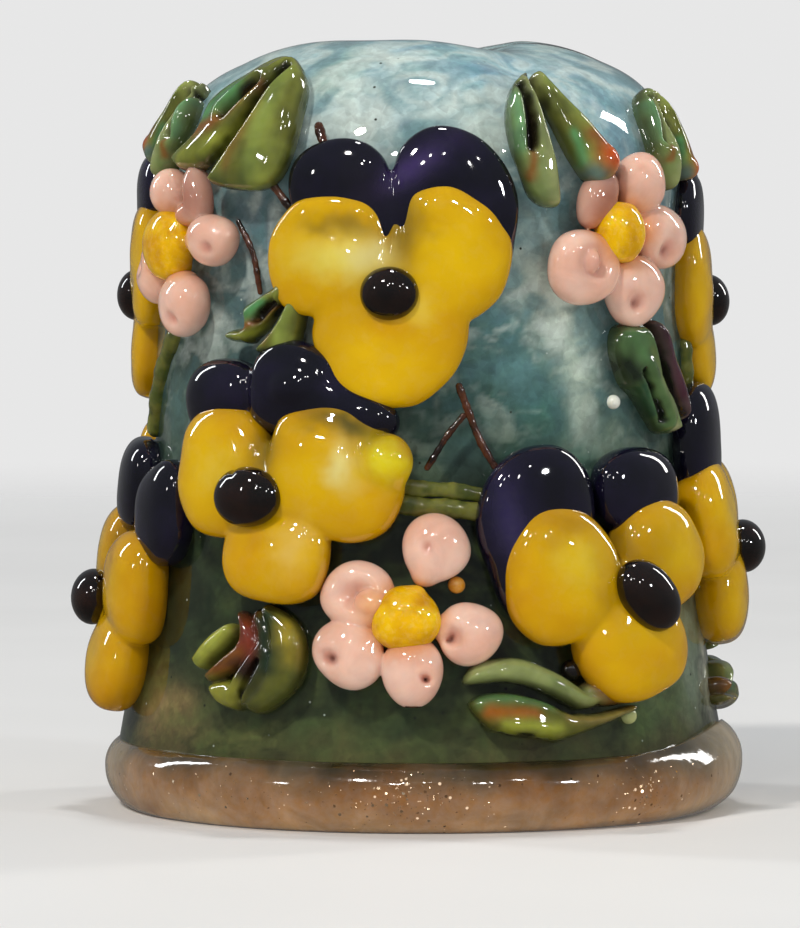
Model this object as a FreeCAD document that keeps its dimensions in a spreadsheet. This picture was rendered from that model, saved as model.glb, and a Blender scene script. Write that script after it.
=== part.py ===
import FreeCAD, Part
import Sketcher
import math
import os
import re

# Lampwork glass thimble: a blind tapered finger cup of opal glass, cased in two
# bands of coloured frit and a clear gather, with a coiled foot and raised
# flowers, leaves and stringers melted onto the outside.
# Frame: origin at the centre of the foot, +Z towards the crown, -Y is the front.
# Azimuths run in degrees from the front, positive towards +X, the right.

doc = FreeCAD.newDocument("LampworkThimble")
Vector = FreeCAD.Vector

# ---------------------------------------------------------------- dimensions
dims = doc.addObject("Spreadsheet::Sheet", "Dims")
aliases = set()


def cell(name, value):
    """One named driving dimension: name in column A, value in column B."""
    aliases.add(name)
    row = len(aliases)
    dims.set("A%d" % row, name)
    dims.set("B%d" % row, "%.5f" % value)
    dims.setAlias("B%d" % row, name)
    return value


def bound(expression):
    """Puts the sheet's name before each alias in an expression."""
    return re.sub(
        r"[A-Za-z_][A-Za-z_0-9]*",
        lambda word: "Dims." + word.group(0) if word.group(0) in aliases else word.group(0),
        expression,
    )


# envelope of the clear casing
HEIGHT = cell("overall_height", 28.0)
FLARE_RADIUS = cell("flare_radius", 11.15)
RIM_HEIGHT = cell("rim_height", 2.5)
WAIST_RADIUS = cell("waist_radius", 9.87)
WAIST_HEIGHT = cell("waist_height", 14.0)
SHOULDER_RADIUS = cell("shoulder_radius", 9.72)
SHOULDER_HEIGHT = cell("shoulder_height", 22.4)
CROWN_RADIUS = cell("crown_radius", 6.6)
CROWN_HEIGHT = cell("crown_height", 27.25)
FLARE_ARC = cell("flare_arc_radius", 100.0)
SHOULDER_ARC = cell("shoulder_arc_radius", 4.8)
DIMPLE_RADIUS = cell("dimple_crest_radius", 3.6)
DIMPLE_HEIGHT = cell("dimple_crest_height", HEIGHT)
DIMPLE_DEPTH = cell("dimple_depth", 0.45)
# wall build-up, outside to inside
CASING_WALL = cell("casing_thickness", 0.70)
COLOUR_WALL = cell("colour_thickness", 0.60)
# finger bore
BORE_RADIUS = cell("bore_mouth_radius", 8.40)
BORE_LAND_TOP = cell("bore_land_top", 4.50)
BORE_TOP_RADIUS = cell("bore_top_radius", 6.90)
BORE_TAPER_TOP = cell("bore_taper_top", 20.55)
BORE_CORNER = cell("bore_corner_radius", 3.20)
BORE_END = cell("bore_end_height", 24.20)
CUP_FOOT = cell("cup_foot_height", 0.30)
# foot coil and its goldstone core
RIM_RADIUS = cell("rim_radius", 11.75)
RIM_BULGE_HEIGHT = cell("rim_bulge_height", 1.45)
FOOT_OUTER_RADIUS = cell("foot_outer_radius", 10.85)
FOOT_INNER_RADIUS = cell("foot_inner_radius", 10.15)
RIM_LOWER_ARC = cell("rim_lower_arc_radius", 1.60)
RIM_UPPER_ARC = cell("rim_upper_arc_radius", 1.10)
GOLD_RADIUS = cell("goldstone_radius", 10.75)
GOLD_BOTTOM = cell("goldstone_bottom", 0.60)
GOLD_TOP = cell("goldstone_top", 2.00)
# lap between the two colour bands; the slope is rise over radius
cell("lap_height_at_cup", 10.9)
cell("lap_slope", 2.0)


def arc_level_at_crest(run, rise):
    """Radius of the arc that rises over a run and ends level."""
    return (run ** 2 + rise ** 2) / (2 * rise)


# Crown and dimple arcs are a little slacker than ones that end exactly level.
ARC_SLACK = 1.02
CROWN_ARC = cell("crown_arc_radius", ARC_SLACK * arc_level_at_crest(
    CROWN_RADIUS - DIMPLE_RADIUS, DIMPLE_HEIGHT - CROWN_HEIGHT))
DIMPLE_ARC = cell("dimple_arc_radius", ARC_SLACK * arc_level_at_crest(
    DIMPLE_RADIUS, DIMPLE_DEPTH))

# ---------------------------------------------------- tables of the glass laid on
# Half-thickness of each sort of drop, and the lift of its centre above the casing.
SORTS = {
    "dark_thin": (0.72, 0.20), "dark_thick": (0.98, 0.42),
    "yellow_thin": (0.92, 0.40), "yellow_thick": (1.25, 0.75),
    "eye_thin": (0.70, 1.15), "eye_thick": (0.80, 1.90),
    "pink": (0.86, 0.46), "pink_centre": (0.80, 0.85),
    "leaf": (0.66, 0.12), "dot": (0.27, 0.06),
}

# Every drop: azimuth, height, half-width, half-height and clocking in degrees.
# Each pansy: its thickness, then its drops in the order of PANSY_DROPS.
PANSY_DROPS = ("dark_left", "dark_right", "yellow_left", "yellow_right", "yellow_low", "eye")
PANSIES = {
    "pansy_front_upper": ("thin", [
        (-17.1, 22.5, 1.85, 1.75, 0), (5.3, 22.4, 2.25, 2.15, 0), (-18.4, 20.1, 2.2, 2.2, 0),
        (4.8, 20.1, 2.15, 2.45, 0), (-6.0, 17.0, 2.6, 2.35, 0), (-6.2, 18.8, 0.94, 0.94, 0)]),
    "pansy_front_left": ("thick", [
        (-43.3, 15.0, 1.7, 1.4, 0), (-26.1, 15.3, 1.95, 1.7, 0), (-40.2, 12.3, 1.95, 2.4, 0),
        (-18.1, 12.4, 2.6, 2.4, 15), (-28.4, 9.5, 1.85, 1.75, 0), (-31.5, 11.45, 1.12, 1.08, 0)]),
    "pansy_front_right": ("thick", [
        (23.6, 11.0, 2.35, 2.25, 20), (47.9, 11.5, 2.1, 1.7, 0), (26.8, 8.65, 2.2, 2.45, 0),
        (50.3, 9.2, 2.1, 2.05, 0), (41.2, 6.2, 2.2, 2.1, 0), (41.0, 7.8, 1.1, 1.3, 30)]),
    "pansy_left_low": ("thick", [
        (-84.0, 11.6, 2.0, 1.8, 0), (-63.0, 10.7, 1.6, 1.9, -15), (-94.0, 8.8, 2.0, 2.1, 0),
        (-71.0, 7.9, 1.9, 2.1, 0), (-78.0, 5.2, 2.0, 1.95, 0), (-84.0, 7.3, 1.02, 1.02, -60)]),
    "pansy_right_low": ("thick", [
        (77.5, 13.1, 1.8, 2.3, 0), (98.0, 13.2, 1.9, 1.9, 0), (77.0, 10.4, 1.95, 2.2, 0),
        (99.0, 10.5, 2.3, 2.2, 0), (86.0, 7.6, 2.1, 2.0, 0), (87.0, 9.2, 1.0, 1.0, 0)]),
    "pansy_right_upper": ("thin", [
        (81.0, 21.6, 1.8, 1.6, 0), (101.0, 22.2, 1.9, 1.7, 0), (81.5, 19.1, 1.9, 2.2, 0),
        (104.0, 19.6, 2.2, 2.3, 0), (92.0, 16.8, 2.3, 1.9, 0), (92.5, 18.6, 0.95, 0.95, 0)]),
    "pansy_left_upper": ("thin", [
        (-106.0, 22.3, 1.9, 1.7, 0), (-86.5, 22.4, 1.8, 1.6, 0), (-107.5, 19.8, 2.2, 2.2, 0),
        (-84.5, 19.9, 2.0, 2.2, 0), (-96.5, 17.0, 2.3, 2.1, 0), (-96.5, 18.8, 0.95, 0.95, 0)]),
    "pansy_back_upper": ("thin", [
        (169.0, 22.4, 2.1, 1.9, 0), (-169.0, 22.3, 1.9, 1.8, 0), (168.0, 20.0, 2.2, 2.3, 0),
        (-168.5, 20.1, 2.1, 2.2, 0), (180.0, 17.0, 2.5, 2.2, 0), (180.0, 18.8, 0.95, 0.95, 0)]),
    "pansy_back_right": ("thick", [
        (121.5, 14.4, 2.0, 1.8, 0), (142.0, 14.0, 1.9, 1.8, 0), (121.0, 11.7, 2.1, 2.2, 0),
        (143.0, 11.4, 2.1, 2.2, 0), (131.0, 8.7, 2.1, 1.9, 0), (132.0, 10.5, 1.0, 1.0, 0)]),
    "pansy_back_low": ("thick", [
        (170.0, 11.6, 2.1, 2.0, 0), (-168.5, 11.3, 1.9, 1.8, 20), (170.5, 8.9, 2.1, 2.2, 0),
        (-167.5, 8.7, 2.0, 2.1, 0), (-179.0, 6.0, 2.1, 1.9, 0), (-178.5, 7.7, 1.0, 1.0, 0)]),
    "pansy_back_left": ("thick", [
        (-140.0, 14.5, 1.8, 1.6, 0), (-120.5, 14.9, 2.0, 1.8, 0), (-141.0, 12.0, 2.0, 2.2, 0),
        (-119.0, 12.1, 2.2, 2.2, 0), (-130.0, 9.3, 2.0, 1.9, 0), (-130.5, 11.1, 1.05, 1.0, 0)]),
}
# Each blossom: five petals, which are not clocked, then its centre.
BLOSSOMS = {
    "blossom_right_upper": (
        [(34.1, 19.75, 1.32, 1.30), (47.9, 18.95, 1.22, 1.18), (56.0, 20.8, 1.05, 1.2),
         (49.8, 22.75, 0.95, 0.85), (37.6, 22.0, 1.05, 0.95)], (42.5, 21.0, 1.0, 1.0, 130)),
    "blossom_front_low": (
        [(2.5, 9.8, 1.18, 1.22), (8.6, 6.8, 1.12, 1.12), (-1.8, 5.5, 1.25, 1.0),
         (-13.4, 6.1, 1.33, 1.2), (-11.8, 8.1, 1.3, 1.26)], (-3.0, 7.3, 1.12, 1.15, 0)),
    "blossom_left_upper": (
        [(-64.0, 22.3, 0.95, 0.9), (-47.0, 20.7, 0.95, 0.95), (-56.0, 18.45, 1.15, 1.15),
         (-68.5, 19.6, 1.1, 1.1), (-51.5, 22.4, 0.95, 0.8)], (-59.0, 20.6, 0.95, 1.05, 0)),
    "blossom_back_right": (
        [(127.0, 21.2, 1.15, 1.1), (131.5, 19.0, 1.15, 1.1), (143.0, 19.1, 1.15, 1.15),
         (147.0, 21.3, 1.1, 1.1), (137.0, 22.7, 1.1, 1.0)], (137.0, 20.8, 1.0, 1.0, 0)),
    "blossom_back_left": (
        [(-147.0, 21.0, 1.1, 1.1), (-143.5, 18.9, 1.15, 1.1), (-132.5, 18.8, 1.15, 1.15),
         (-127.5, 20.9, 1.15, 1.1), (-137.0, 22.6, 1.1, 1.0)], (-137.0, 20.6, 1.0, 1.0, 90)),
    "blossom_back_low": (
        [(147.5, 6.4, 1.1, 1.1), (150.5, 4.4, 1.1, 1.0), (160.0, 4.4, 1.1, 1.0),
         (162.0, 6.3, 1.0, 1.1), (155.0, 7.8, 1.1, 1.05)], (155.0, 6.0, 1.0, 1.0, -60)),
}
# Each leaf spray: the long drops that are fused into it.
LEAVES = {
    "leaf_crown_left": [
        (-38.5, 25.9, 0.85, 1.9, -62), (-48.0, 24.0, 0.95, 1.8, -48),
        (-33.0, 25.2, 0.9, 1.8, -28), (-40.5, 23.4, 0.95, 1.7, -30)],
    "leaf_crown_far_left": [(-66.0, 25.2, 0.9, 1.8, -25), (-74.0, 23.9, 0.9, 1.7, -20)],
    "leaf_crown_right": [
        (26.0, 24.9, 0.72, 1.8, 4), (25.5, 23.1, 0.8, 1.7, 0),
        (30.5, 25.0, 0.8, 1.8, 25), (36.5, 23.7, 0.85, 1.6, 28)],
    "leaf_crown_far_right": [
        (65.0, 25.0, 0.75, 1.6, 8), (66.5, 23.4, 0.8, 1.5, 5), (60.0, 24.2, 0.45, 0.7, 0)],
    "leaf_crown_back_right": [
        (153.0, 24.9, 0.8, 1.8, 12), (150.0, 23.4, 0.8, 1.4, 0), (158.5, 24.9, 0.8, 1.8, -15)],
    "leaf_crown_back_left": [
        (-154.0, 24.9, 0.8, 1.8, -12), (-150.5, 23.5, 0.8, 1.4, 0), (-159.5, 24.8, 0.8, 1.7, 15)],
    "leaf_mid_right": [(51.5, 15.6, 0.6, 2.0, 22), (57.5, 15.7, 0.62, 2.1, 20)],
    "leaf_mid_left": [(-34.8, 17.4, 0.55, 1.4, -32), (-28.6, 18.0, 0.6, 1.2, -35)],
    "leaf_mid_back_right": [(113.0, 16.4, 0.7, 1.8, 25), (119.0, 16.9, 0.7, 1.7, 20)],
    "leaf_mid_back_left": [(-113.0, 16.3, 0.7, 1.8, -25), (-118.5, 16.9, 0.7, 1.7, -20)],
    "leaf_low_right": [
        (20.5, 5.15, 2.4, 0.62, -12), (21.5, 4.25, 2.3, 0.62, -2), (32.5, 4.25, 1.3, 0.5, 14)],
    "leaf_low_left": [
        (-39.0, 6.6, 1.9, 0.7, 28), (-29.5, 5.4, 1.2, 1.7, -18), (-41.0, 4.85, 1.0, 0.6, 5)],
    "leaf_low_far_right": [(84.0, 4.6, 1.2, 0.7, 20), (91.0, 4.3, 1.3, 0.7, -10)],
    "leaf_low_back_right": [(112.0, 5.6, 2.0, 0.7, -18), (113.0, 4.7, 2.0, 0.7, -8)],
    "leaf_low_back_left": [(-108.0, 6.4, 2.0, 0.7, 16), (-109.0, 5.5, 2.0, 0.7, 6)],
    "leaf_low_back": [(-149.0, 5.6, 1.9, 0.65, 14), (-150.0, 4.7, 1.9, 0.65, 4)],
}
# Each stringer: its rods, as rod radius and the stops (azimuth, height) it runs through.
STRINGERS = {
    "twig_front": [
        (0.13, [(7.5, 15.6), (9.0, 14.9), (12.0, 13.6), (17.6, 12.0)]),
        (0.11, [(8.3, 14.55), (5.2, 13.9), (1.0, 12.75)])],
    "twig_left": [
        (0.17, [(-22.8, 24.7), (-20.6, 23.9)]),
        (0.14, [(-35.5, 23.2), (-32.0, 22.6), (-28.5, 21.9)]),
        (0.11, [(-41.5, 21.4), (-37.5, 20.3), (-35.6, 18.9)])],
    "twig_back": [
        (0.13, [(152.5, 16.4), (149.5, 15.6), (146.5, 15.9)]),
        (0.13, [(-158.5, 15.9), (-155.0, 14.9), (-150.5, 14.2)])],
    "stem_front": [
        (0.24, [(-10.6, 12.3), (-2.0, 12.05), (6.0, 11.95), (15.2, 11.7)]),
        (0.30, [(-10.2, 11.6), (-1.0, 11.4), (6.5, 11.3), (14.8, 11.1)])],
    "stem_left": [(0.36, [(-64.0, 17.3), (-70.0, 16.3), (-76.0, 15.1), (-80.0, 14.0)])],
    "stem_right": [
        (0.34, [(76.0, 17.0), (76.5, 16.2), (78.0, 15.3)]),
        (0.30, [(81.0, 16.9), (81.5, 16.0), (82.0, 15.4)])],
    "stem_back": [
        (0.28, [(152.0, 13.6), (158.0, 13.3), (164.0, 13.2)]),
        (0.28, [(-152.0, 13.4), (-158.0, 13.2), (-164.6, 12.8)])],
}
# Round accent dots: azimuth, height, radius.
DOTS = [
    (6.6, 8.65, 0.30), (43.3, 15.0, 0.26), (29.2, 5.6, 0.38), (41.8, 3.9, 0.30),
    (107.0, 24.0, 0.30), (-118.0, 18.6, 0.28), (165.0, 15.0, 0.28),
]

# ------------------------------------------------------------- casing geometry
# Side to which an arc bulges, looking along its travel.
LEFT, RIGHT = 1, -1


def arc_centre(start, end, radius, side):
    """Centre of the arc from start to end that bulges to the given side."""
    dx, dy = end[0] - start[0], end[1] - start[1]
    chord = math.hypot(dx, dy)
    offset = math.sqrt(radius * radius - chord * chord / 4)
    return ((start[0] + end[0]) / 2 + dy / chord * offset * side,
            (start[1] + end[1]) / 2 - dx / chord * offset * side)


def on_casing(z):
    """Radius of the casing at height z, from rim to crown, and the lean of its
    outward normal in degrees."""
    waist = (WAIST_RADIUS, WAIST_HEIGHT)
    shoulder = (SHOULDER_RADIUS, SHOULDER_HEIGHT)
    if z <= WAIST_HEIGHT:
        centre = arc_centre((FLARE_RADIUS, RIM_HEIGHT), waist, FLARE_ARC, LEFT)
        radius = centre[0] - math.sqrt(FLARE_ARC ** 2 - (z - centre[1]) ** 2)
        return radius, math.degrees(math.atan((z - centre[1]) / (radius - centre[0])))
    if z <= SHOULDER_HEIGHT:
        slope = (WAIST_RADIUS - SHOULDER_RADIUS) / (SHOULDER_HEIGHT - WAIST_HEIGHT)
        return WAIST_RADIUS - slope * (z - WAIST_HEIGHT), math.degrees(math.atan(slope))
    centre = arc_centre(shoulder, (CROWN_RADIUS, CROWN_HEIGHT), SHOULDER_ARC, RIGHT)
    radius = centre[0] + math.sqrt(SHOULDER_ARC ** 2 - (z - centre[1]) ** 2)
    return radius, math.degrees(math.atan2(z - centre[1], radius - centre[0]))


# ------------------------------------------------------------- cells of the drops
drops = {}  # sort and footprint of each drop


def footprint(azimuth, z, size):
    """The patch of casing that a piece of glass covers."""
    return dict(azimuth=azimuth, z=z, radius=on_casing(z)[0], size=size)


def drop_cells(name, sort, azimuth, z, across, up, clock=0.0):
    """Dimensions of a flattened drop seated on the casing: half-widths across and
    up the wall, turned by clock about its own normal."""
    lift = SORTS[sort][1]
    radius, lean = on_casing(z)
    cell(name + "_az", azimuth)
    cell(name + "_reach", radius + lift * math.cos(math.radians(lean)))
    cell(name + "_level", z + lift * math.sin(math.radians(lean)))
    cell(name + "_lean", lean)
    cell(name + "_clock", clock)
    cell(name + "_across", across)
    cell(name + "_up", up)
    drops[name] = (sort, footprint(azimuth, z, max(across, up)))


for sort, (half_thickness, _) in SORTS.items():
    cell(sort + "_half_thickness", half_thickness)
for name, (thickness, table) in PANSIES.items():
    for key, sizes in zip(PANSY_DROPS, table):
        drop_cells(name + "_" + key, key.split("_")[0] + "_" + thickness, *sizes)
for name, (petals, centre) in BLOSSOMS.items():
    for i, sizes in enumerate(petals):
        drop_cells("%s_petal_%d" % (name, i), "pink", *sizes)
    drop_cells(name + "_centre", "pink_centre", *centre)
for name, lobes in LEAVES.items():
    for i, sizes in enumerate(lobes):
        drop_cells("%s_lobe_%d" % (name, i), "leaf", *sizes)
for i, (azimuth, z, radius) in enumerate(DOTS):
    drop_cells("accent_dot_%d" % i, "dot", azimuth, z, radius, radius)
for name, rods in STRINGERS.items():
    for i, (radius, _) in enumerate(rods):
        cell("%s_%d_radius" % (name, i), radius)
doc.recompute()


# ------------------------------------------------------- profiles and turned bodies
# An outline is a closed list of (x, z, x_expression, z_expression) + an edge.
# The edge leaves that point: (radius, radius_expression, side), or STRAIGHT.
# An expression of None puts the point on the axis (x) or on the foot plane (z).
STRAIGHT = (None, None, None)


def arc_edge(start, end, radius, side):
    """An arc of a profile, always built anticlockwise."""
    centre = arc_centre(start, end, radius, side)
    first, last = (end, start) if side == LEFT else (start, end)
    first_angle = math.atan2(first[1] - centre[1], first[0] - centre[0])
    last_angle = math.atan2(last[1] - centre[1], last[0] - centre[0])
    if last_angle < first_angle:
        last_angle += 2 * math.pi
    circle = Part.Circle(Vector(centre[0], centre[1], 0), Vector(0, 0, 1), radius)
    return Part.ArcOfCircle(circle, first_angle, last_angle)


def bind(sketch, expression, *constraint):
    """Adds a dimension to a sketch and drives it from the sheet."""
    index = sketch.addConstraint(Sketcher.Constraint(*constraint))
    sketch.setExpression("Constraints[%d]" % index, bound(expression))


def draw_outline(sketch, outline):
    """Draws and fully constrains an outline."""
    count = len(outline)
    for i, (x, z, _, _, radius, _, side) in enumerate(outline):
        end = outline[(i + 1) % count][:2]
        if radius is None:
            edge = Part.LineSegment(Vector(x, z, 0), Vector(end[0], end[1], 0))
        else:
            edge = arc_edge((x, z), end, radius, side)
        sketch.addGeometry(edge, False)

    ends = []  # which end of each edge comes first going round the outline
    for i, edge in enumerate(sketch.Geometry):
        corner = Vector(outline[i][0], outline[i][1], 0)
        forward = edge.StartPoint.sub(corner).Length < edge.EndPoint.sub(corner).Length
        ends.append((1, 2) if forward else (2, 1))

    for i in range(count):
        j = (i + 1) % count
        sketch.addConstraint(Sketcher.Constraint("Coincident", i, ends[i][1], j, ends[j][0]))
    for i, (x, z, x_expr, z_expr, radius, radius_expr, _) in enumerate(outline):
        first = ends[i][0]
        if x_expr is None:
            sketch.addConstraint(Sketcher.Constraint("PointOnObject", i, first, -2))
        else:
            bind(sketch, x_expr, "DistanceX", -1, 1, i, first, x)
        if z_expr is None:
            sketch.addConstraint(Sketcher.Constraint("PointOnObject", i, first, -1))
        else:
            bind(sketch, z_expr, "DistanceY", -1, 1, i, first, z)
        if radius is not None:
            bind(sketch, radius_expr, "Radius", i, radius)


def revolved(name, outline):
    """A body turned about Z from its outline."""
    body = doc.addObject("PartDesign::Body", name)
    sketch = body.newObject("Sketcher::SketchObject", name + "_profile")
    plane = [f for f in body.Origin.OriginFeatures if f.Role == "XZ_Plane"][0]
    sketch.AttachmentSupport = [(plane, "")]
    sketch.MapMode = "FlatFace"
    draw_outline(sketch, outline)
    if sketch.solve() != 0:
        raise SystemExit("sketch does not solve: " + name)
    turn = body.newObject("PartDesign::Revolution", name + "_revolution")
    turn.Profile = sketch
    turn.ReferenceAxis = (sketch, ["V_Axis"])
    turn.Angle = 360.0
    body.Tip = turn
    doc.recompute()
    if turn.Shape.isNull() or not turn.Shape.isValid():
        raise SystemExit("revolution failed: %s %s" % (name, turn.getStatusString()))
    return body


# Depth of each inner surface below the casing's outside, with its expression.
UNDER_CASING = (CASING_WALL, "casing_thickness")
UNDER_COLOUR = (CASING_WALL + COLOUR_WALL, "casing_thickness + colour_thickness")
# Share of that depth by which the crown corner moves in and down.
CROWN_IN, CROWN_DOWN = 0.54, 0.84


def layer_points(depth, expr):
    """Corners of the surface at a depth below the casing's outside, foot to crown."""
    return [
        (FLARE_RADIUS - depth, RIM_HEIGHT, f"flare_radius - ({expr})", "rim_height"),
        (WAIST_RADIUS - depth, WAIST_HEIGHT, f"waist_radius - ({expr})", "waist_height"),
        (SHOULDER_RADIUS - depth, SHOULDER_HEIGHT,
         f"shoulder_radius - ({expr})", "shoulder_height"),
        (CROWN_RADIUS - CROWN_IN * depth, CROWN_HEIGHT - CROWN_DOWN * depth,
         f"crown_radius - {CROWN_IN} * ({expr})", f"crown_height - {CROWN_DOWN} * ({expr})"),
        (0.0, HEIGHT - DIMPLE_DEPTH - depth, None, f"overall_height - dimple_depth - ({expr})"),
    ]


def surface_up(depth, expr):
    """Outline entries along that surface from the rim to the axis."""
    flare = (FLARE_ARC, "flare_arc_radius", LEFT)
    shoulder = (SHOULDER_ARC - depth, f"shoulder_arc_radius - ({expr})", RIGHT)
    edges = [flare, STRAIGHT, shoulder, STRAIGHT, STRAIGHT]
    return [point + edge for point, edge in zip(layer_points(depth, expr), edges)]


def surface_down(depth, expr):
    """Outline entries along that surface from the axis to the rim."""
    shoulder = (SHOULDER_ARC - depth, f"shoulder_arc_radius - ({expr})", LEFT)
    flare = (FLARE_ARC, "flare_arc_radius", RIGHT)
    edges = [STRAIGHT, shoulder, STRAIGHT, flare, STRAIGHT]
    return [point + edge for point, edge in zip(layer_points(depth, expr)[::-1], edges)]


# the casing's own outside, with the shallow dimple in the crown
casing_outside = [
    (FLARE_RADIUS, RIM_HEIGHT, "flare_radius", "rim_height",
     FLARE_ARC, "flare_arc_radius", LEFT),
    (WAIST_RADIUS, WAIST_HEIGHT, "waist_radius", "waist_height") + STRAIGHT,
    (SHOULDER_RADIUS, SHOULDER_HEIGHT, "shoulder_radius", "shoulder_height",
     SHOULDER_ARC, "shoulder_arc_radius", RIGHT),
    (CROWN_RADIUS, CROWN_HEIGHT, "crown_radius", "crown_height",
     CROWN_ARC, "crown_arc_radius", RIGHT),
    (DIMPLE_RADIUS, DIMPLE_HEIGHT, "dimple_crest_radius", "dimple_crest_height",
     DIMPLE_ARC, "dimple_arc_radius", LEFT),
    (0.0, HEIGHT - DIMPLE_DEPTH, None, "overall_height - dimple_depth") + STRAIGHT,
]
clear_casing = revolved("clear_casing", casing_outside + surface_down(*UNDER_CASING))

# colour sleeve, parted by a cone into the lower meadow band and the upper sky band
colour_sleeve = revolved(
    "colour_sleeve", surface_up(*UNDER_CASING) + surface_down(*UNDER_COLOUR))
# The cone's apex is on the axis, below the lap; its base is this far above the crown.
LAP_OVERSHOOT = 2
apex_drop = "(waist_radius - casing_thickness - colour_thickness) * lap_slope"
above_lap = f"(overall_height + {LAP_OVERSHOOT} - lap_height_at_cup)"
lap = doc.addObject("Part::Cone", "lap_cone")
lap.Radius1 = 0
lap.setExpression("Height", bound(f"{above_lap} * 1mm + {apex_drop} * 1mm"))
lap.setExpression("Radius2", bound(f"({above_lap} + {apex_drop}) / lap_slope * 1mm"))
lap.setExpression("Placement", bound(
    f"placement(vector(0; 0; lap_height_at_cup - {apex_drop}); rotation(vector(0;0;1); 0))"))
sky = doc.addObject("Part::Common", "sky_layer")
sky.Base, sky.Tool = colour_sleeve, lap
meadow = doc.addObject("Part::Cut", "meadow_layer")
meadow.Base, meadow.Tool = colour_sleeve, lap

# finger cup: tapered blind bore with a straight land at the mouth
CUP_RADIUS = FLARE_RADIUS - UNDER_COLOUR[0]
cup_radius_expr = f"flare_radius - ({UNDER_COLOUR[1]})"
# The corner arc is a hair over a quarter circle's radius.
CORNER_SLACK = 1.001
finger_cup = revolved(
    "finger_cup",
    [(BORE_RADIUS, CUP_FOOT, "bore_mouth_radius", "cup_foot_height") + STRAIGHT,
     (CUP_RADIUS, CUP_FOOT, cup_radius_expr, "cup_foot_height") + STRAIGHT]
    + surface_up(*UNDER_COLOUR)
    + [(0.0, BORE_END, None, "bore_end_height") + STRAIGHT,
       (BORE_TOP_RADIUS - BORE_CORNER, BORE_TAPER_TOP + BORE_CORNER,
        "bore_top_radius - bore_corner_radius", "bore_taper_top + bore_corner_radius",
        BORE_CORNER * CORNER_SLACK, f"bore_corner_radius * {CORNER_SLACK}", LEFT),
       (BORE_TOP_RADIUS, BORE_TAPER_TOP, "bore_top_radius", "bore_taper_top") + STRAIGHT,
       (BORE_RADIUS, BORE_LAND_TOP, "bore_mouth_radius", "bore_land_top") + STRAIGHT])

# goldstone band round the foot of the cup, its bulge as a share of the band's height
GOLD_BULGE = 0.62
goldstone_band = revolved(
    "goldstone_band",
    [(CUP_RADIUS, GOLD_BOTTOM, cup_radius_expr, "goldstone_bottom") + STRAIGHT,
     (GOLD_RADIUS, GOLD_BOTTOM, "goldstone_radius", "goldstone_bottom",
      (GOLD_TOP - GOLD_BOTTOM) * GOLD_BULGE,
      f"(goldstone_top - goldstone_bottom) * {GOLD_BULGE}", RIGHT),
     (GOLD_RADIUS, GOLD_TOP, "goldstone_radius", "goldstone_top") + STRAIGHT,
     (CUP_RADIUS, GOLD_TOP, cup_radius_expr, "goldstone_top") + STRAIGHT])

# foot coil of tan glass wound over the goldstone band
coil = revolved(
    "foot_coil",
    [(CUP_RADIUS, CUP_FOOT, cup_radius_expr, "cup_foot_height") + STRAIGHT,
     (FOOT_INNER_RADIUS, 0.0, "foot_inner_radius", None) + STRAIGHT,
     (FOOT_OUTER_RADIUS, 0.0, "foot_outer_radius", None,
      RIM_LOWER_ARC, "rim_lower_arc_radius", RIGHT),
     (RIM_RADIUS, RIM_BULGE_HEIGHT, "rim_radius", "rim_bulge_height",
      RIM_UPPER_ARC, "rim_upper_arc_radius", RIGHT),
     (FLARE_RADIUS, RIM_HEIGHT, "flare_radius", "rim_height") + STRAIGHT,
     (CUP_RADIUS, RIM_HEIGHT, cup_radius_expr, "rim_height") + STRAIGHT])
coil.Label = "foot_coil_body"
rim_coil = doc.addObject("Part::Cut", "rim_coil")
rim_coil.Base, rim_coil.Tool = coil, goldstone_band

# solid envelope of everything under the decoration, used to seat it;
# it runs down inside the coil so that the two fuse
COIL_OVERLAP = 1.0
envelope = revolved(
    "casing_envelope",
    casing_outside
    + [(0.0, RIM_HEIGHT - COIL_OVERLAP, None, f"rim_height - {COIL_OVERLAP}") + STRAIGHT,
       (FLARE_RADIUS - COIL_OVERLAP, RIM_HEIGHT - COIL_OVERLAP,
        f"flare_radius - {COIL_OVERLAP}", f"rim_height - {COIL_OVERLAP}") + STRAIGHT])
foundation = doc.addObject("Part::MultiFuse", "foundation")
foundation.Shapes = [envelope, coil]
doc.recompute()
if not foundation.Shape.isValid() or len(foundation.Shape.Solids) != 1:
    raise SystemExit("foundation failed")

# ---------------------------------------------------------------- laying the glass
NEAR = 1.02            # footprints closer than this times their sizes may overlap
TOUCHING = 1e-5        # pieces closer than this meet
LEAST_LEFT = 0.03      # a seating cut leaves at least this share of the volume
MOST_LEFT = 0.99999    # and at most this share
ROD_LIFT = 0.3         # a rod's centre line above the casing, in rod radii
ROD_END = 1.06         # radius of its rounded ends, in rod radii
ROD_FOOTPRINT = 2.2    # size of its footprint at each stop, in rod radii

laid = []  # (finished piece, its footprints), in the order the glass is laid on


def drop(name):
    """The blank of one drop, sized and placed from its cells."""
    blank = doc.addObject("Part::Ellipsoid", name + "_blank")
    blank.setExpression("Radius1", bound(f"{drops[name][0]}_half_thickness * 1mm"))
    blank.setExpression("Radius2", bound(f"{name}_across * 1mm"))
    blank.setExpression("Radius3", bound(f"{name}_up * 1mm"))
    blank.setExpression("Placement", bound(
        f"placement(vector({name}_reach * sin({name}_az * 1deg);"
        f" -{name}_reach * cos({name}_az * 1deg); {name}_level);"
        f" rotation(vector(0;0;1); {name}_az) * rotation(vector(1;0;0); 90 - {name}_lean)"
        f" * rotation(vector(0;0;1); {name}_clock))"))
    doc.recompute([blank])
    return blank


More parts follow.
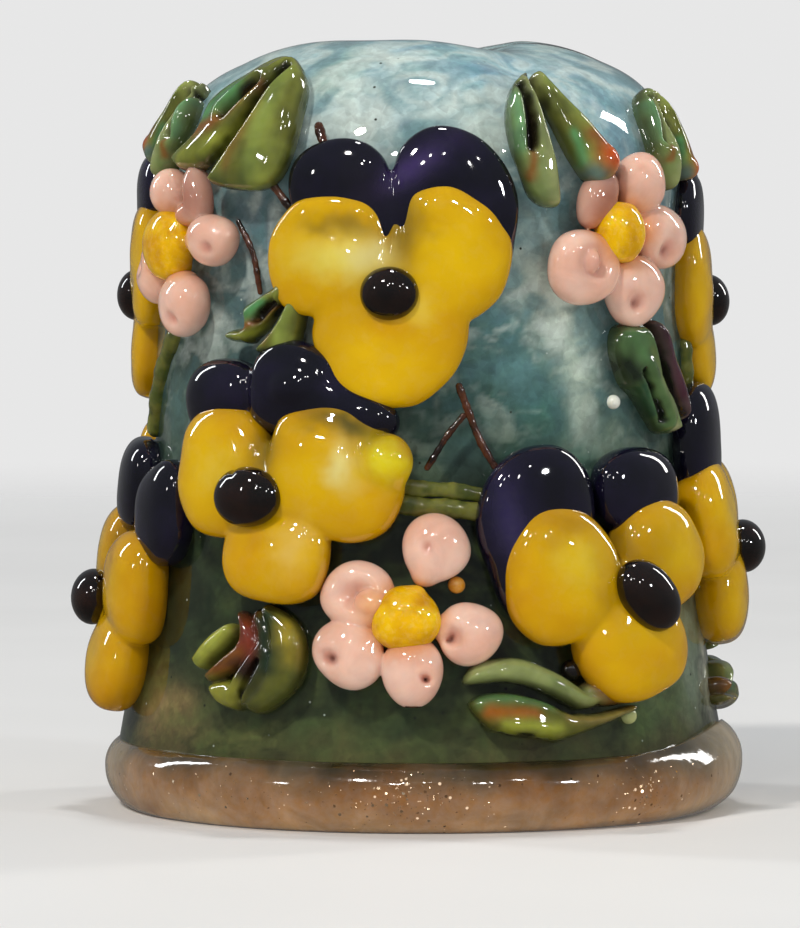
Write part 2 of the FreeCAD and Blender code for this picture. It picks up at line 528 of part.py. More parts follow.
def near(one, other):
    """True when two footprints reach each other."""
    turn = math.radians((one["azimuth"] - other["azimuth"] + 180) % 360 - 180)
    gap = turn * (one["radius"] + other["radius"]) / 2
    return math.hypot(gap, one["z"] - other["z"]) < NEAR * (one["size"] + other["size"])


def overlapping(prints):
    """The pieces already laid whose footprints reach any of these."""
    return [piece for piece, theirs in laid
            if any(near(one, other) for one in prints for other in theirs)]


def sound(shape, before):
    """True when a seating cut has left good glass that is smaller than it was."""
    return (not shape.isNull() and shape.isValid() and len(shape.Solids) >= 1
            and before * LEAST_LEFT < shape.Volume < before * MOST_LEFT)


def seat(name, piece, under):
    """The piece with everything it shares with the glass under it taken away."""
    before = piece.Shape.Volume
    cut = doc.addObject("Part::Cut", name)
    cut.Base, cut.Tool = piece, under
    doc.recompute([cut])
    if sound(cut.Shape, before):
        return cut
    # Guards against a cut that fails on nearly touching faces: looser tolerances
    # come next, and if none is sound the piece stays as it was.
    doc.removeObject(cut.Name)
    for tolerance in (1e-5, 1e-4, 1e-3):
        shape = piece.Shape.cut([under.Shape], tolerance)
        if sound(shape, before):
            feature = doc.addObject("Part::Feature", name)
            feature.Shape = shape
            return feature
    return piece


def lay(name, blank, prints):
    """Seats a blank on the casing and on the glass laid before it, and adds it to the pile."""
    piece = seat(name + "_seated", blank, foundation)
    for i, other in enumerate(overlapping(prints)):
        if piece.Shape.distToShape(other.Shape)[0] < TOUCHING:
            piece = seat("%s_over_%d" % (name, i), piece, other)
    laid.append((piece, prints))
    return piece


def lay_drops(names):
    return [lay(name, drop(name), [drops[name][1]]) for name in names]


def lay_rod(name, stops):
    """A round rod swept along a curve partly sunk in the casing, with rounded ends."""
    radius = float(dims.get(name + "_radius"))
    points = []
    for azimuth, z in stops:
        casing_radius, lean = on_casing(z)
        reach = casing_radius + ROD_LIFT * radius * math.cos(math.radians(lean))
        level = z + ROD_LIFT * radius * math.sin(math.radians(lean))
        angle = math.radians(azimuth)
        points.append(Vector(reach * math.sin(angle), -reach * math.cos(angle), level))
    curve = Part.BSplineCurve()
    curve.interpolate(points)
    path = curve.toShape()
    direction = path.tangentAt(path.FirstParameter)
    ring = Part.Wire(Part.makeCircle(radius, points[0], direction))
    rod = Part.Wire(path).makePipeShell([ring], True, True)
    rod = rod.fuse([Part.makeSphere(radius * ROD_END, points[0]),
                    Part.makeSphere(radius * ROD_END, points[-1])])
    if len(rod.Solids) == 1:
        rod = rod.Solids[0]
    feature = doc.addObject("Part::Feature", name + "_rod")
    feature.Shape = rod
    return lay(name, feature,
               [footprint(azimuth, z, radius * ROD_FOOTPRINT) for azimuth, z in stops])


def lay_leaf(name, count):
    """The lobes of one leaf spray, fused and laid as a single piece."""
    lobes = ["%s_lobe_%d" % (name, i) for i in range(count)]
    fused = doc.addObject("Part::MultiFuse", name + "_blank")
    fused.Shapes = [drop(lobe) for lobe in lobes]
    doc.recompute([fused])
    return lay(name, fused, [drops[lobe][1] for lobe in lobes])


# Each group is one finished part. Later glass is cut to fit over earlier glass.
groups = {}
for name, rods in STRINGERS.items():
    groups[name] = [lay_rod("%s_%d" % (name, i), stops) for i, (_, stops) in enumerate(rods)]
for name, lobes in LEAVES.items():
    groups[name] = [lay_leaf(name, len(lobes))]
for name in PANSIES:
    groups[name + "_dark_petals"] = lay_drops([name + "_dark_left", name + "_dark_right"])
for name in PANSIES:
    groups[name + "_yellow_petals"] = lay_drops(
        [name + "_yellow_low", name + "_yellow_left", name + "_yellow_right"])
for name, (petals, _) in BLOSSOMS.items():
    groups[name + "_petals"] = lay_drops(
        ["%s_petal_%d" % (name, i) for i in range(len(petals))])
groups["blossom_centres"] = lay_drops([name + "_centre" for name in BLOSSOMS])
groups["pansy_eyes"] = lay_drops([name + "_eye" for name in PANSIES])
groups["accent_dots"] = lay_drops(["accent_dot_%d" % i for i in range(len(DOTS))])

# ------------------------------------------------------------- finished sub-parts
doc.recompute()
parts = {
    "clear_casing": clear_casing, "sky_layer": sky, "meadow_layer": meadow,
    "finger_cup": finger_cup, "goldstone_band": goldstone_band, "rim_coil": rim_coil,
}
for name, members in groups.items():
    # only the largest solid of each piece: the rest are offcuts of the seating cuts
    solids = [max(piece.Shape.Solids, key=lambda solid: solid.Volume) for piece in members]
    parts[name] = doc.addObject("Part::Feature", name)
    parts[name].Shape = Part.makeCompound(solids)
for label, part in parts.items():
    part.Label = label

bad = [o.Name for o in doc.Objects if any(s in ("Invalid", "Error") for s in o.State)]
if bad:
    raise SystemExit("failed objects: %s" % bad)
for label, part in parts.items():
    if part.Shape.isNull() or not part.Shape.isValid() or not part.Shape.Solids:
        raise SystemExit("bad shape: %s" % label)
os.makedirs("parts", exist_ok=True)
for label, part in parts.items():
    part.Shape.exportStep("parts/%s.step" % label)
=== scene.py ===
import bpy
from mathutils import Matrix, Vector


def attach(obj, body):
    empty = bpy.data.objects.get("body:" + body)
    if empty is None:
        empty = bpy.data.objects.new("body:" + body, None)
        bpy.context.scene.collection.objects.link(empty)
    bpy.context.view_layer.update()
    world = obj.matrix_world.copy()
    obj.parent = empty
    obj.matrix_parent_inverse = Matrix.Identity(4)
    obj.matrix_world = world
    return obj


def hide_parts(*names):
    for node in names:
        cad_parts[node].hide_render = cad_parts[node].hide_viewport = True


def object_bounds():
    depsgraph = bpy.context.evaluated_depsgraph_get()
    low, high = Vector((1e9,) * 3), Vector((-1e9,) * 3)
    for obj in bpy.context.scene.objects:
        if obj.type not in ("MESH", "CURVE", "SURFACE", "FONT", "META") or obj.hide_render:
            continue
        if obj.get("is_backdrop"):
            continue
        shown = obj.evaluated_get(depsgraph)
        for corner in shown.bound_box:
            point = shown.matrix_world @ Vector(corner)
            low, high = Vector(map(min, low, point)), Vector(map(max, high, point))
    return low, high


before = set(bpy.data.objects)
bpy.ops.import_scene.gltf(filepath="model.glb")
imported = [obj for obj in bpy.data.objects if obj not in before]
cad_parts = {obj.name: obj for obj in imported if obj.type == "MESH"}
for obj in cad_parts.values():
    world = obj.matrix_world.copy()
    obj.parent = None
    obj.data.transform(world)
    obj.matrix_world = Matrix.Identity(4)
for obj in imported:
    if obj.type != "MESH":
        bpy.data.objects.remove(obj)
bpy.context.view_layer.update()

# Looks for the lampwork glass thimble. All glass shapes are built here from distance
# fields laid on the casing's own surface, in millimetres, then scaled to metres.
import math

import bpy
import numpy as np
from mathutils import Matrix, Vector

H = 0.095  # mesh cell of the raised glass, mm
SEED = 20

# ------------------------------------------------------------------ the casing as a guide
FLARE = (11.15, 2.5)
WAIST = (9.87, 14.0)
SHOULDER = (9.72, 22.4)
CROWN = (6.6, 27.25)
CREST = (3.6, 28.0)
TOP = (0.0, 27.55)


def arc_points(p, q, radius, side, n):
    mx, my = (p[0] + q[0]) / 2, (p[1] + q[1]) / 2
    dx, dy = q[0] - p[0], q[1] - p[1]
    c = math.hypot(dx, dy)
    h = math.sqrt(radius * radius - c * c / 4)
    cx, cy = mx + dy / c * h * side, my - dx / c * h * side
    a0 = math.atan2(p[1] - cy, p[0] - cx)
    a1 = math.atan2(q[1] - cy, q[0] - cx)
    if a1 - a0 > math.pi:
        a1 -= 2 * math.pi
    if a0 - a1 > math.pi:
        a1 += 2 * math.pi
    t = np.linspace(a0, a1, n)
    return np.stack([cx + radius * np.cos(t), cy + radius * np.sin(t)], 1)


prof = np.concatenate([
    arc_points(FLARE, WAIST, 100.0, 1, 60)[:-1],
    np.linspace(WAIST, SHOULDER, 40)[:-1],
    arc_points(SHOULDER, CROWN, 4.8, -1, 60)[:-1],
    arc_points(CROWN, CREST, 6.5, -1, 30)[:-1],
    arc_points(CREST, TOP, 14.9175, 1, 30),
])
seg = np.hypot(*np.diff(prof, axis=0).T)
PS = np.concatenate([[0], np.cumsum(seg)])  # arc length from the crease up
# soften the joints between arcs so that highlights run on smoothly
k = np.exp(-np.linspace(-2, 2, 25) ** 2)
k /= k.sum()
fine_s = np.linspace(0, PS[-1], 900)
fr = np.interp(fine_s, PS, prof[:, 0])
fz = np.interp(fine_s, PS, prof[:, 1])
ext_r = np.concatenate([2 * fr[0] - fr[12:0:-1], fr, -fr[-2:-14:-1]])
ext_z = np.concatenate([2 * fz[0] - fz[12:0:-1], fz, fz[-2:-14:-1]])
PR = np.convolve(ext_r, k, "valid")
PZ = np.convolve(ext_z, k, "valid")
PSF = fine_s
tr, tz = np.gradient(PR, PSF), np.gradient(PZ, PSF)
ln = np.hypot(tr, tz)
NR, NZ = tz / ln, -tr / ln
S_END = PSF[-1]


def s_of(z):
    """Arc length at a height on the wall or shoulder."""
    m = int(np.argmax(PZ))
    return float(np.interp(z, PZ[:m], PSF[:m]))


def r_of(z):
    return float(np.interp(s_of(z), PSF, PR))


# ------------------------------------------------------------------ repeatable noise
def lattice(ix, iy, iz, seed):
    n = (ix * 73856093) ^ (iy * 19349663) ^ (iz * 83492791) ^ (seed * 2654435761)
    n = n & 0xFFFFFFFF
    n = ((n ^ (n >> 15)) * 2246822519) & 0xFFFFFFFF
    n = ((n ^ (n >> 13)) * 3266489917) & 0xFFFFFFFF
    return ((n ^ (n >> 16)) & 0xFFFFFF) / float(0xFFFFFF) * 2 - 1


def vnoise(p, seed=0):
    """Smooth value noise at points (..., 3), about -1 to 1."""
    f = np.floor(p)
    i = f.astype(np.int64)
    t = p - f
    t = t * t * t * (t * (t * 6 - 15) + 10)
    out = 0
    for dx in (0, 1):
        wx = t[..., 0] if dx else 1 - t[..., 0]
        for dy in (0, 1):
            wy = t[..., 1] if dy else 1 - t[..., 1]
            for dz in (0, 1):
                wz = t[..., 2] if dz else 1 - t[..., 2]
                out = out + wx * wy * wz * lattice(i[..., 0] + dx, i[..., 1] + dy, i[..., 2] + dz, seed)
    return out


def fbm(p, octaves=4, seed=0, gain=0.5):
    out, amp, f = 0, 1.0, 1.0
    for o in range(octaves):
        out = out + amp * vnoise(p * f, seed + o * 17)
        amp *= gain
        f *= 2.03
    return out


# ------------------------------------------------------------------ hand-made unevenness
def swell(az, s):
    """How far the fire-polished casing stands off its true profile, mm (az in radians)."""
    on_crown = np.clip((s - s_of(23.5)) / 4.0, 0, 1)
    on_crown = on_crown * on_crown * (3 - 2 * on_crown)
    wall = (0.030 * np.cos(2 * az + 0.6) + 0.026 * np.cos(3 * az - 1.1 + s * 0.21) + 0.018 * np.cos(5 * az + 0.33 * s)
            + 0.014 * np.cos(7 * az - 0.5 * s + 2.0) + 0.02 * np.cos(s * 0.9 + 2 * np.cos(az)))
    near_axis = np.clip((S_END - s) / 2.5, 0, 1)
    crown = (0.17 * np.cos(2 * az + 2.3) + 0.12 * np.cos(3 * az + 0.4) + 0.05 * np.cos(5 * az - 0.8)) * near_axis
    dips = 0
    for a0, z0, wa, ws, depth in ((31.0, 27.15, 9.0, 1.1, -0.34), (-60.0, 26.8, 16.0, 1.2, -0.12), (160.0, 27.0, 14.0, 1.3, -0.15), (60.0, 26.6, 16.0, 1.3, 0.18)):
        da = (az - math.radians(a0) + math.pi) % (2 * math.pi) - math.pi
        dips = dips + depth * np.exp(-(da / math.radians(wa)) ** 2 - ((s - s_of(z0)) / ws) ** 2)
    return wall * (1 - on_crown) + crown * on_crown + dips


def to_world(az0, s0, uvw, rref=None):
    """Maps (u across, v up the wall, w off the wall) about an anchor to world mm."""
    if rref is None:
        rref = float(np.interp(s0, PSF, PR))
    az = math.radians(az0) + uvw[:, 0] / rref
    s = s0 + uvw[:, 1]
    r = np.interp(s, PSF, PR)
    z = np.interp(s, PSF, PZ) + np.minimum(s, 0) * 1.0
    nr, nz = np.interp(s, PSF, NR), np.interp(s, PSF, NZ)
    w = uvw[:, 2] + swell(az, s)
    rr = r + w * nr
    return np.stack([rr * np.sin(az), -rr * np.cos(az), z + w * nz], 1)


# ------------------------------------------------------------------ distance fields
def smin(a, b, k):
    h = np.clip(0.5 + 0.5 * (b - a) / k, 0, 1)
    return b * (1 - h) + a * h - k * h * (1 - h)


def smax(a, b, k):
    return -smin(-a, -b, k)


def pebble(p, c, a, b, rot=0.0, w0=0.4, t=0.8, n=2.3, m=2.2, taper=0.0, lobes=(), lean=(0.0, 0.0)):
    """A melted drop: superellipse outline a by b turned by rot degrees, half-thickness t about
    height w0. taper widens the top, lobes are (count, size, phase) waves of the outline, lean tips it."""
    ct, st = math.cos(math.radians(rot)), math.sin(math.radians(rot))
    x = (p[..., 0] - c[0]) * ct + (p[..., 1] - c[1]) * st
    y = -(p[..., 0] - c[0]) * st + (p[..., 1] - c[1]) * ct
    z = p[..., 2] - w0 - lean[0] * x - lean[1] * y
    aa = a * (1 + taper * np.clip(y / b, -1.2, 1.2))
    if lobes:
        th = np.arctan2(y, x)
        grow = 1.0
        for cnt, size, ph in lobes:
            grow = grow + size * np.cos(cnt * th + ph)
        aa = aa * grow
        bb = b * grow
    else:
        bb = b
    q = (np.abs(x / aa) ** n + np.abs(y / bb) ** n) ** (m / n) + np.abs(z / t) ** m
    k0 = q ** (1.0 / m) + 1e-9
    k1 = np.sqrt((x / aa ** 2) ** 2 + (y / bb ** 2) ** 2 + (z / t ** 2) ** 2) + 1e-9
    return k0 * (k0 - 1.0) / k1


def rod(p, pts, radii, flat=1.0, k=0.06):
    """A tapering rod through pts (u, v, w); flat under 1 squashes it towards the wall."""
    out = None
    for i in range(len(pts) - 1):
        a, b = np.array(pts[i], float), np.array(pts[i + 1], float)
        ab = b - a
        ap = p - a
        sc = np.array([1.0, 1.0, 1.0 / flat])
        abs_, aps = ab * sc, ap * sc
        h = np.clip((aps @ abs_) / (abs_ @ abs_ + 1e-12), 0, 1)
        d = np.linalg.norm(aps - h[..., None] * abs_, axis=-1) - (radii[i] * (1 - h) + radii[i + 1] * h)
        d = d * min(1.0, flat)
        out = d if out is None else smin(out, d, k)
    return out


def dent(p, c, su, sv, depth, rot=0.0):
    """Depth to add to a field for a dimple pressed in at c."""
    ct, st = math.cos(math.radians(rot)), math.sin(math.radians(rot))
    x = (p[..., 0] - c[0]) * ct + (p[..., 1] - c[1]) * st
    y = -(p[..., 0] - c[0]) * st + (p[..., 1] - c[1]) * ct
    return depth * np.exp(-(x / su) ** 2 - (y / sv) ** 2)


# ------------------------------------------------------------------ surface nets
def net(vals, org, h):
    s = vals < 0
    nx, ny, nz = vals.shape
    acc = np.zeros((nx - 1, ny - 1, nz - 1, 3))
    cnt = np.zeros((nx - 1, ny - 1, nz - 1))
    for axis in range(3):
        for da in (0, 1):
            for db in (0, 1):
                sl0, sl1 = [slice(0, n - 1) for n in (nx, ny, nz)], [slice(0, n - 1) for n in (nx, ny, nz)]
                others = [x for x in range(3) if x != axis]
                for o, dd in zip(others, (da, db)):
                    n = (nx, ny, nz)[o]
                    sl0[o] = sl1[o] = slice(dd, n - 1 + dd)
                n = (nx, ny, nz)[axis]
                sl1[axis] = slice(1, n)
                a, b = vals[tuple(sl0)], vals[tuple(sl1)]
                m = s[tuple(sl0)] != s[tuple(sl1)]
                t = np.where(m, a / np.where(m, a - b, 1), 0)
                acc[..., axis] += t
                acc[..., others[0]] += m * da
                acc[..., others[1]] += m * db
                cnt += m
    active = cnt > 0
    idx = np.full(active.shape, -1, np.int64)
    idx[active] = np.arange(int(active.sum()))
    cells = np.argwhere(active)
    verts = (acc[active] / cnt[active][:, None] + cells) * h + org
    quads = []
    # edges along x
    m = s[:-1, 1:-1, 1:-1] != s[1:, 1:-1, 1:-1]
    q = np.stack([idx[:, :-1, :-1][m], idx[:, 1:, :-1][m], idx[:, 1:, 1:][m], idx[:, :-1, 1:][m]], 1)
    flip = ~s[:-1, 1:-1, 1:-1][m]
    q[flip] = q[flip][:, ::-1]
    quads.append(q)
    # edges along y
    m = s[1:-1, :-1, 1:-1] != s[1:-1, 1:, 1:-1]
    q = np.stack([idx[:-1, :, :-1][m], idx[:-1, :, 1:][m], idx[1:, :, 1:][m], idx[1:, :, :-1][m]], 1)
    flip = ~s[1:-1, :-1, 1:-1][m]
    q[flip] = q[flip][:, ::-1]
    quads.append(q)
    # edges along z
    m = s[1:-1, 1:-1, :-1] != s[1:-1, 1:-1, 1:]
    q = np.stack([idx[:-1, :-1, :][m], idx[1:, :-1, :][m], idx[1:, 1:, :][m], idx[:-1, 1:, :][m]], 1)
    flip = ~s[1:-1, 1:-1, :-1][m]
    q[flip] = q[flip][:, ::-1]
    quads.append(q)
    return verts, np.concatenate(quads)


def carve(field, lo, hi, h=None, floor=-0.12):
    """Meshes a field over a box of (u, v, w), closed just under the casing's surface."""
    h = h or H
    lo, hi = np.array(lo, float), np.array(hi, float)
    lo[2] = floor - 2.2 * h
    n = np.ceil((hi - lo) / h).astype(int) + 1
    ax = [lo[i] + h * np.arange(n[i]) for i in range(3)]
    grid = np.stack(np.meshgrid(*ax, indexing="ij"), -1)

    def full(p):
        return np.maximum(field(p), floor - p[..., 2])

    vals = full(grid)
    verts, quads = net(vals, lo, h)
    for _ in range(2):
        e = 0.02
        f0 = full(verts)
        g = np.stack([(full(verts + d) - full(verts - d)) / (2 * e) for d in np.eye(3) * e], 1)
        g2 = (g * g).sum(1) + 1e-6
        step = np.clip(f0 / g2, -h * 0.6, h * 0.6)
        flat = verts[:, 2] < floor + h
        step[flat] = 0
        verts = verts - g * step[:, None]
    return verts, quads


# ------------------------------------------------------------------ meshes into Blender
def srgb(r, g, b):
    def f(c):
        c = c / 255.0
        return c / 12.92 if c <= 0.04045 else ((c + 0.055) / 1.055) ** 2.4
    return np.array([f(r), f(g), f(b)])


def make_object(name, verts_mm, faces, material, node_names, tint=None, floats=None):
    me = bpy.data.meshes.new(name)
    me.from_pydata((verts_mm * 0.001).tolist(), [], [list(map(int, f)) for f in faces])
    me.update()
    me.polygons.foreach_set("use_smooth", np.ones(len(me.polygons), bool))
    if tint is not None:
        at = me.attributes.new("tint", "FLOAT_COLOR", "POINT")
        rgba = np.ones((len(verts_mm), 4), np.float32)
        rgba[:, :3] = np.clip(tint, 0, 1)
        at.data.foreach_set("color", rgba.ravel())
    for key, val in (floats or {}).items():
        at = me.attributes.new(key, "FLOAT", "POINT")
        at.data.foreach_set("value", np.asarray(val, np.float32))
    me.materials.append(material)
    ob = bpy.data.objects.new(name, me)
    bpy.context.scene.collection.objects.link(ob)
    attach(ob, "root")
    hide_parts(*node_names)
    return ob


def join(parts):
    vs, fs, ts, off = [], [], [], 0
    for v, f, t in parts:
        vs.append(v)
        fs.append(f + off)
        ts.append(t)
        off += len(v)
    return np.concatenate(vs), np.concatenate(fs), np.concatenate(ts)


# ------------------------------------------------------------------ materials
class Tree:
    def __init__(self, name):
        self.mat = bpy.data.materials.new(name)
        self.mat.use_nodes = True
        self.t = self.mat.node_tree
        self.t.nodes.clear()
        self.out = self.t.nodes.new("ShaderNodeOutputMaterial")

    def n(self, kind, props=None, **inputs):
        node = self.t.nodes.new(kind)
        for key, val in (props or {}).items():
            setattr(node, key, val)
        for key, val in inputs.items():
            self.set(node, key, val)
        return node

    def set(self, node, key, val):
        if isinstance(key, str) and key.startswith("i") and key[1:].isdigit():
            sock = node.inputs[int(key[1:])]
        else:
            sock = node.inputs[key.replace("_", " ")] if isinstance(key, str) else node.inputs[key]
        if isinstance(val, bpy.types.NodeSocket):
            self.t.links.new(val, sock)
        elif isinstance(val, bpy.types.Node):
            self.t.links.new(val.outputs[0], sock)
        else:
            if hasattr(sock.default_value, "__len__") and not isinstance(val, (tuple, list, np.ndarray)):
                val = [val] * len(sock.default_value)
            if hasattr(sock.default_value, "__len__"):
                val = list(val)
                if len(sock.default_value) == 4 and len(val) == 3:
                    val = val + [1.0]
            sock.default_value = val
        return sock

    def math(self, op, a, b=0.0, c=None, clamp=False):
        node = self.n("ShaderNodeMath", {"operation": op, "use_clamp": clamp})
        self.set(node, "i0", a)
        self.set(node, "i1", b)
        if c is not None:
            self.set(node, "i2", c)
        return node.outputs[0]

    def mix(self, fac, a, b, blend="MIX"):
        node = self.n("ShaderNodeMix", {"data_type": "RGBA", "blend_type": blend, "clamp_factor": True})
        self.set(node, "i0", fac)
        self.set(node, "i6", a)
        self.set(node, "i7", b)
        return node.outputs[2]

    def ramp(self, fac, stops):
        node = self.n("ShaderNodeValToRGB")
        el = node.color_ramp.elements
        while len(el) > 1:
            el.remove(el[-1])
        el[0].position = stops[0][0]
        el[0].color = tuple(stops[0][1]) + (1.0,) if len(stops[0][1]) == 3 else stops[0][1]
        for pos, col in stops[1:]:
            e = el.new(pos)
            e.color = tuple(col) + (1.0,) if len(col) == 3 else col
        self.set(node, "i0", fac)
        return node.outputs[0]

    def maprange(self, val, a, b, c=0.0, d=1.0):
        node = self.n("ShaderNodeMapRange", {"clamp": True})
        self.set(node, "i0", val)
        for i, x in enumerate((a, b, c, d)):
            node.inputs[i + 1].default_value = x
        return node.outputs[0]

    def position(self):
        """Position in millimetres."""
        g = self.n("ShaderNodeNewGeometry")
        v = self.n("ShaderNodeVectorMath", {"operation": "SCALE"})
        self.set(v, "i0", g.outputs["Position"])
        v.inputs["Scale"].default_value = 1000.0
        return v.outputs[0]

    def noise(self, vec, scale, detail=4.0, rough=0.55, distortion=0.0, kind="FBM"):
        node = self.n("ShaderNodeTexNoise", {"noise_dimensions": "3D"})
        self.set(node, "Vector", vec)
        self.set(node, "Scale", scale)
        self.set(node, "Detail", detail)
        self.set(node, "Roughness", rough)
        self.set(node, "Distortion", distortion)
        return node

    def voronoi(self, vec, scale, feature="F1", rand=1.0):
        node = self.n("ShaderNodeTexVoronoi", {"feature": feature, "voronoi_dimensions": "3D"})
        self.set(node, "Vector", vec)
        self.set(node, "Scale", scale)
        self.set(node, "Randomness", rand)
        return node

    def bump(self, height, strength, distance_mm):
        node = self.n("ShaderNodeBump")
        self.set(node, "Strength", strength)
        self.set(node, "Distance", distance_mm * 0.001)
        self.set(node, "Height", height)
        return node.outputs[0]

    def tint(self):
        return self.n("ShaderNodeAttribute", {"attribute_name": "tint", "attribute_type": "GEOMETRY"}).outputs["Color"]

    def finish(self, shader):
        self.t.links.new(shader, self.out.inputs["Surface"])
        return self.mat


def opaque_glass(name, wash=0.18, swirl=0.7, rough=0.05, sss=0.25, radius=(1.0, 0.6, 0.3), sss_scale=0.45, specks=0.0, speck_color=(0.02, 0.01, 0.005), ripple=0.02):
    """Opaque coloured glass with a fire-polished skin. Its colour is the mesh's own tint, washed by swirls."""
    T = Tree(name)
    pos = T.position()
    big = T.noise(pos, swirl, 3.0, 0.5, 0.9)
    fine = T.noise(pos, swirl * 5.0, 4.0, 0.6, 0.4)
    base = T.tint()
    hsv_l = T.n("ShaderNodeHueSaturation")
    T.set(hsv_l, "Color", base)
    T.set(hsv_l, "Value", T.maprange(big.outputs[0], 0.3, 0.7, 1.0 - wash, 1.0 + wash))
    T.set(hsv_l, "Saturation", T.maprange(fine.outputs[0], 0.3, 0.7, 1.0 + wash * 0.35, 1.0 - wash * 0.35))
    T.set(hsv_l, "Hue", T.maprange(big.outputs[0], 0.3, 0.7, 0.5 - wash * 0.03, 0.5 + wash * 0.03))
    color = hsv_l.outputs[0]
    if specks:
        vor = T.voronoi(pos, 1.6)
        dot = T.maprange(vor.outputs["Distance"], 0.05, 0.02)
        color = T.mix(T.math("MULTIPLY", dot, specks), color, speck_color)
    p = T.n("ShaderNodeBsdfPrincipled")
    T.set(p, "Base Color", color)
    rn = T.noise(pos, 1.3, 2.0)
    T.set(p, "Roughness", T.maprange(rn.outputs[0], 0.3, 0.7, rough * 0.7, rough * 1.5))
    T.set(p, "IOR", 1.52)
    T.set(p, "Subsurface Weight", sss)
    T.set(p, "Subsurface Radius", radius)
    T.set(p, "Subsurface Scale", sss_scale * 0.001)
    T.set(p, "Coat Weight", 0.35)
    T.set(p, "Coat Roughness", 0.02)
    wob = T.noise(pos, 0.9, 2.0, 0.5)
    T.set(p, "Normal", T.bump(wob.outputs[0], 0.6, ripple))
    return T.finish(p.outputs[0])


def passing(T, shader, transparent_color=(1, 1, 1)):
    """Lets lamp light and bounced light straight through, so that what is under the glass is lit."""
    lp = T.n("ShaderNodeLightPath")
    tr = T.n("ShaderNodeBsdfTransparent")
    T.set(tr, "Color", transparent_color)
    fac = T.math("MAXIMUM", lp.outputs["Is Shadow Ray"], lp.outputs["Is Diffuse Ray"])
    mx = T.n("ShaderNodeMixShader")
    T.set(mx, "i0", fac)
    T.t.links.new(shader, mx.inputs[1])
    T.t.links.new(tr.outputs[0], mx.inputs[2])
    return mx.outputs[0]


def clear_glass(name, color=(0.97, 0.99, 0.985), rough=0.0, ior=1.5, ripple=0.02, through=(0.97, 0.985, 0.98)):
    T = Tree(name)
    pos = T.position()
    g = T.n("ShaderNodeBsdfGlass")
    T.set(g, "Color", color)
    T.set(g, "Roughness", rough)
    T.set(g, "IOR", ior)
    wob = T.noise(pos, 0.55, 2.0, 0.45)
    T.set(g, "Normal", T.bump(wob.outputs[0], 0.7, ripple))
    return T.finish(passing(T, g.outputs[0], through))


# ------------------------------------------------------------------ the coloured layers under the casing
LAYERS = [(2.0, (84, 78, 46)), (3.2, (66, 70, 40)), (5.5, (50, 60, 36)), (8.5, (42, 52, 34)), (11.0, (44, 56, 42)), (13.0, (60, 80, 68)),
          (15.0, (78, 104, 96)), (17.5, (98, 124, 120)), (20.5, (120, 145, 145)), (23.0, (138, 163, 166)), (25.0, (152, 178, 182)), (27.0, (166, 190, 192)), (29.0, (172, 195, 194))]
# azimuth, height, spread in degrees and mm, colour, strength
PATCHES = [
    (18, 20.6, 6, 2.6, (190, 200, 188), 0.85), (28, 18.3, 6, 2.2, (204, 212, 198), 0.90), (37, 15.8, 6, 2.0, (196, 208, 190), 0.85), (46, 13.6, 6, 1.4, (150, 170, 150), 0.55),
    (16, 17.0, 7, 1.5, (84, 130, 130), 0.65), (24, 14.4, 8, 1.6, (70, 116, 108), 0.75), (10, 14.2, 6, 1.5, (60, 92, 90), 0.55), (38, 12.6, 8, 1.2, (72, 112, 92), 0.70),
    (-36, 21.4, 9, 2.0, (92, 104, 112), 0.70), (-45, 19.0, 7, 1.8, (74, 86, 90), 0.65), (-30, 23.6, 6, 1.2, (150, 168, 168), 0.50), (-58, 16.0, 10, 2.6, (84, 96, 84), 0.70),
    (-80, 20.0, 10, 3.0, (120, 140, 138), 0.55), (-22, 26.3, 10, 0.9, (118, 152, 132), 0.60), (-5, 26.9, 12, 0.8, (206, 216, 210), 0.70), (14, 26.2, 10, 0.8, (104, 154, 176), 0.75), (-14, 24.6, 8, 1.0, (206, 214, 206), 0.70), (8, 24.9, 10, 0.7, (206, 216, 208), 0.65), (16, 23.6, 6, 1.0, (184, 198, 176), 0.6), (52, 24.6, 9, 1.4, (112, 156, 176), 0.65), (-2, 27.6, 40, 0.35, (116, 164, 184), 0.6),
    # the grey-green and pale patches at 52, 70 and 80 degrees low on the right are painted reflection and highlight of
    # the clear casing's grazing edge
    (30, 26.4, 9, 0.9, (128, 168, 184), 0.55), (-64, 3.8, 10, 1.0, (156, 128, 84), 0.75), (-40, 3.2, 14, 0.6, (96, 100, 52), 0.55), (52, 6.0, 8, 2.6, (104, 114, 92), 0.60),
    (70, 5.6, 6, 3.2, (132, 144, 122), 0.85), (80, 5.4, 3.4, 3.0, (214, 212, 186), 0.85), (48, 3.6, 10, 0.9, (80, 104, 60), 0.55), (-10, 4.0, 14, 0.8, (60, 78, 40), 0.55), (3, 9.9, 9, 1.1, (30, 23, 16), 0.80), (17, 6.9, 7, 0.8, (40, 28, 16), 0.75), (12, 10.8, 8, 1.0, (36, 50, 36), 0.50),
    (105, 17.5, 9, 3.2, (182, 196, 182), 0.70), (128, 15.5, 9, 1.8, (74, 118, 112), 0.65), (150, 18.5, 8, 3.0, (150, 172, 168), 0.55), (-150, 17.5, 9, 2.6, (180, 194, 184), 0.65),
    (-128, 15.8, 8, 1.6, (78, 120, 116), 0.60), (-105, 14.6, 8, 1.8, (70, 96, 84), 0.60), (175, 14.8, 10, 1.4, (64, 104, 92), 0.60), (120, 4.6, 12, 1.0, (92, 104, 60), 0.50), (-140, 4.2, 14, 1.0, (120, 112, 70), 0.55), (165, 26.5, 16, 0.9, (124, 166, 182), 0.55), (-120, 26.3, 14, 0.9, (150, 184, 186), 0.55),
]


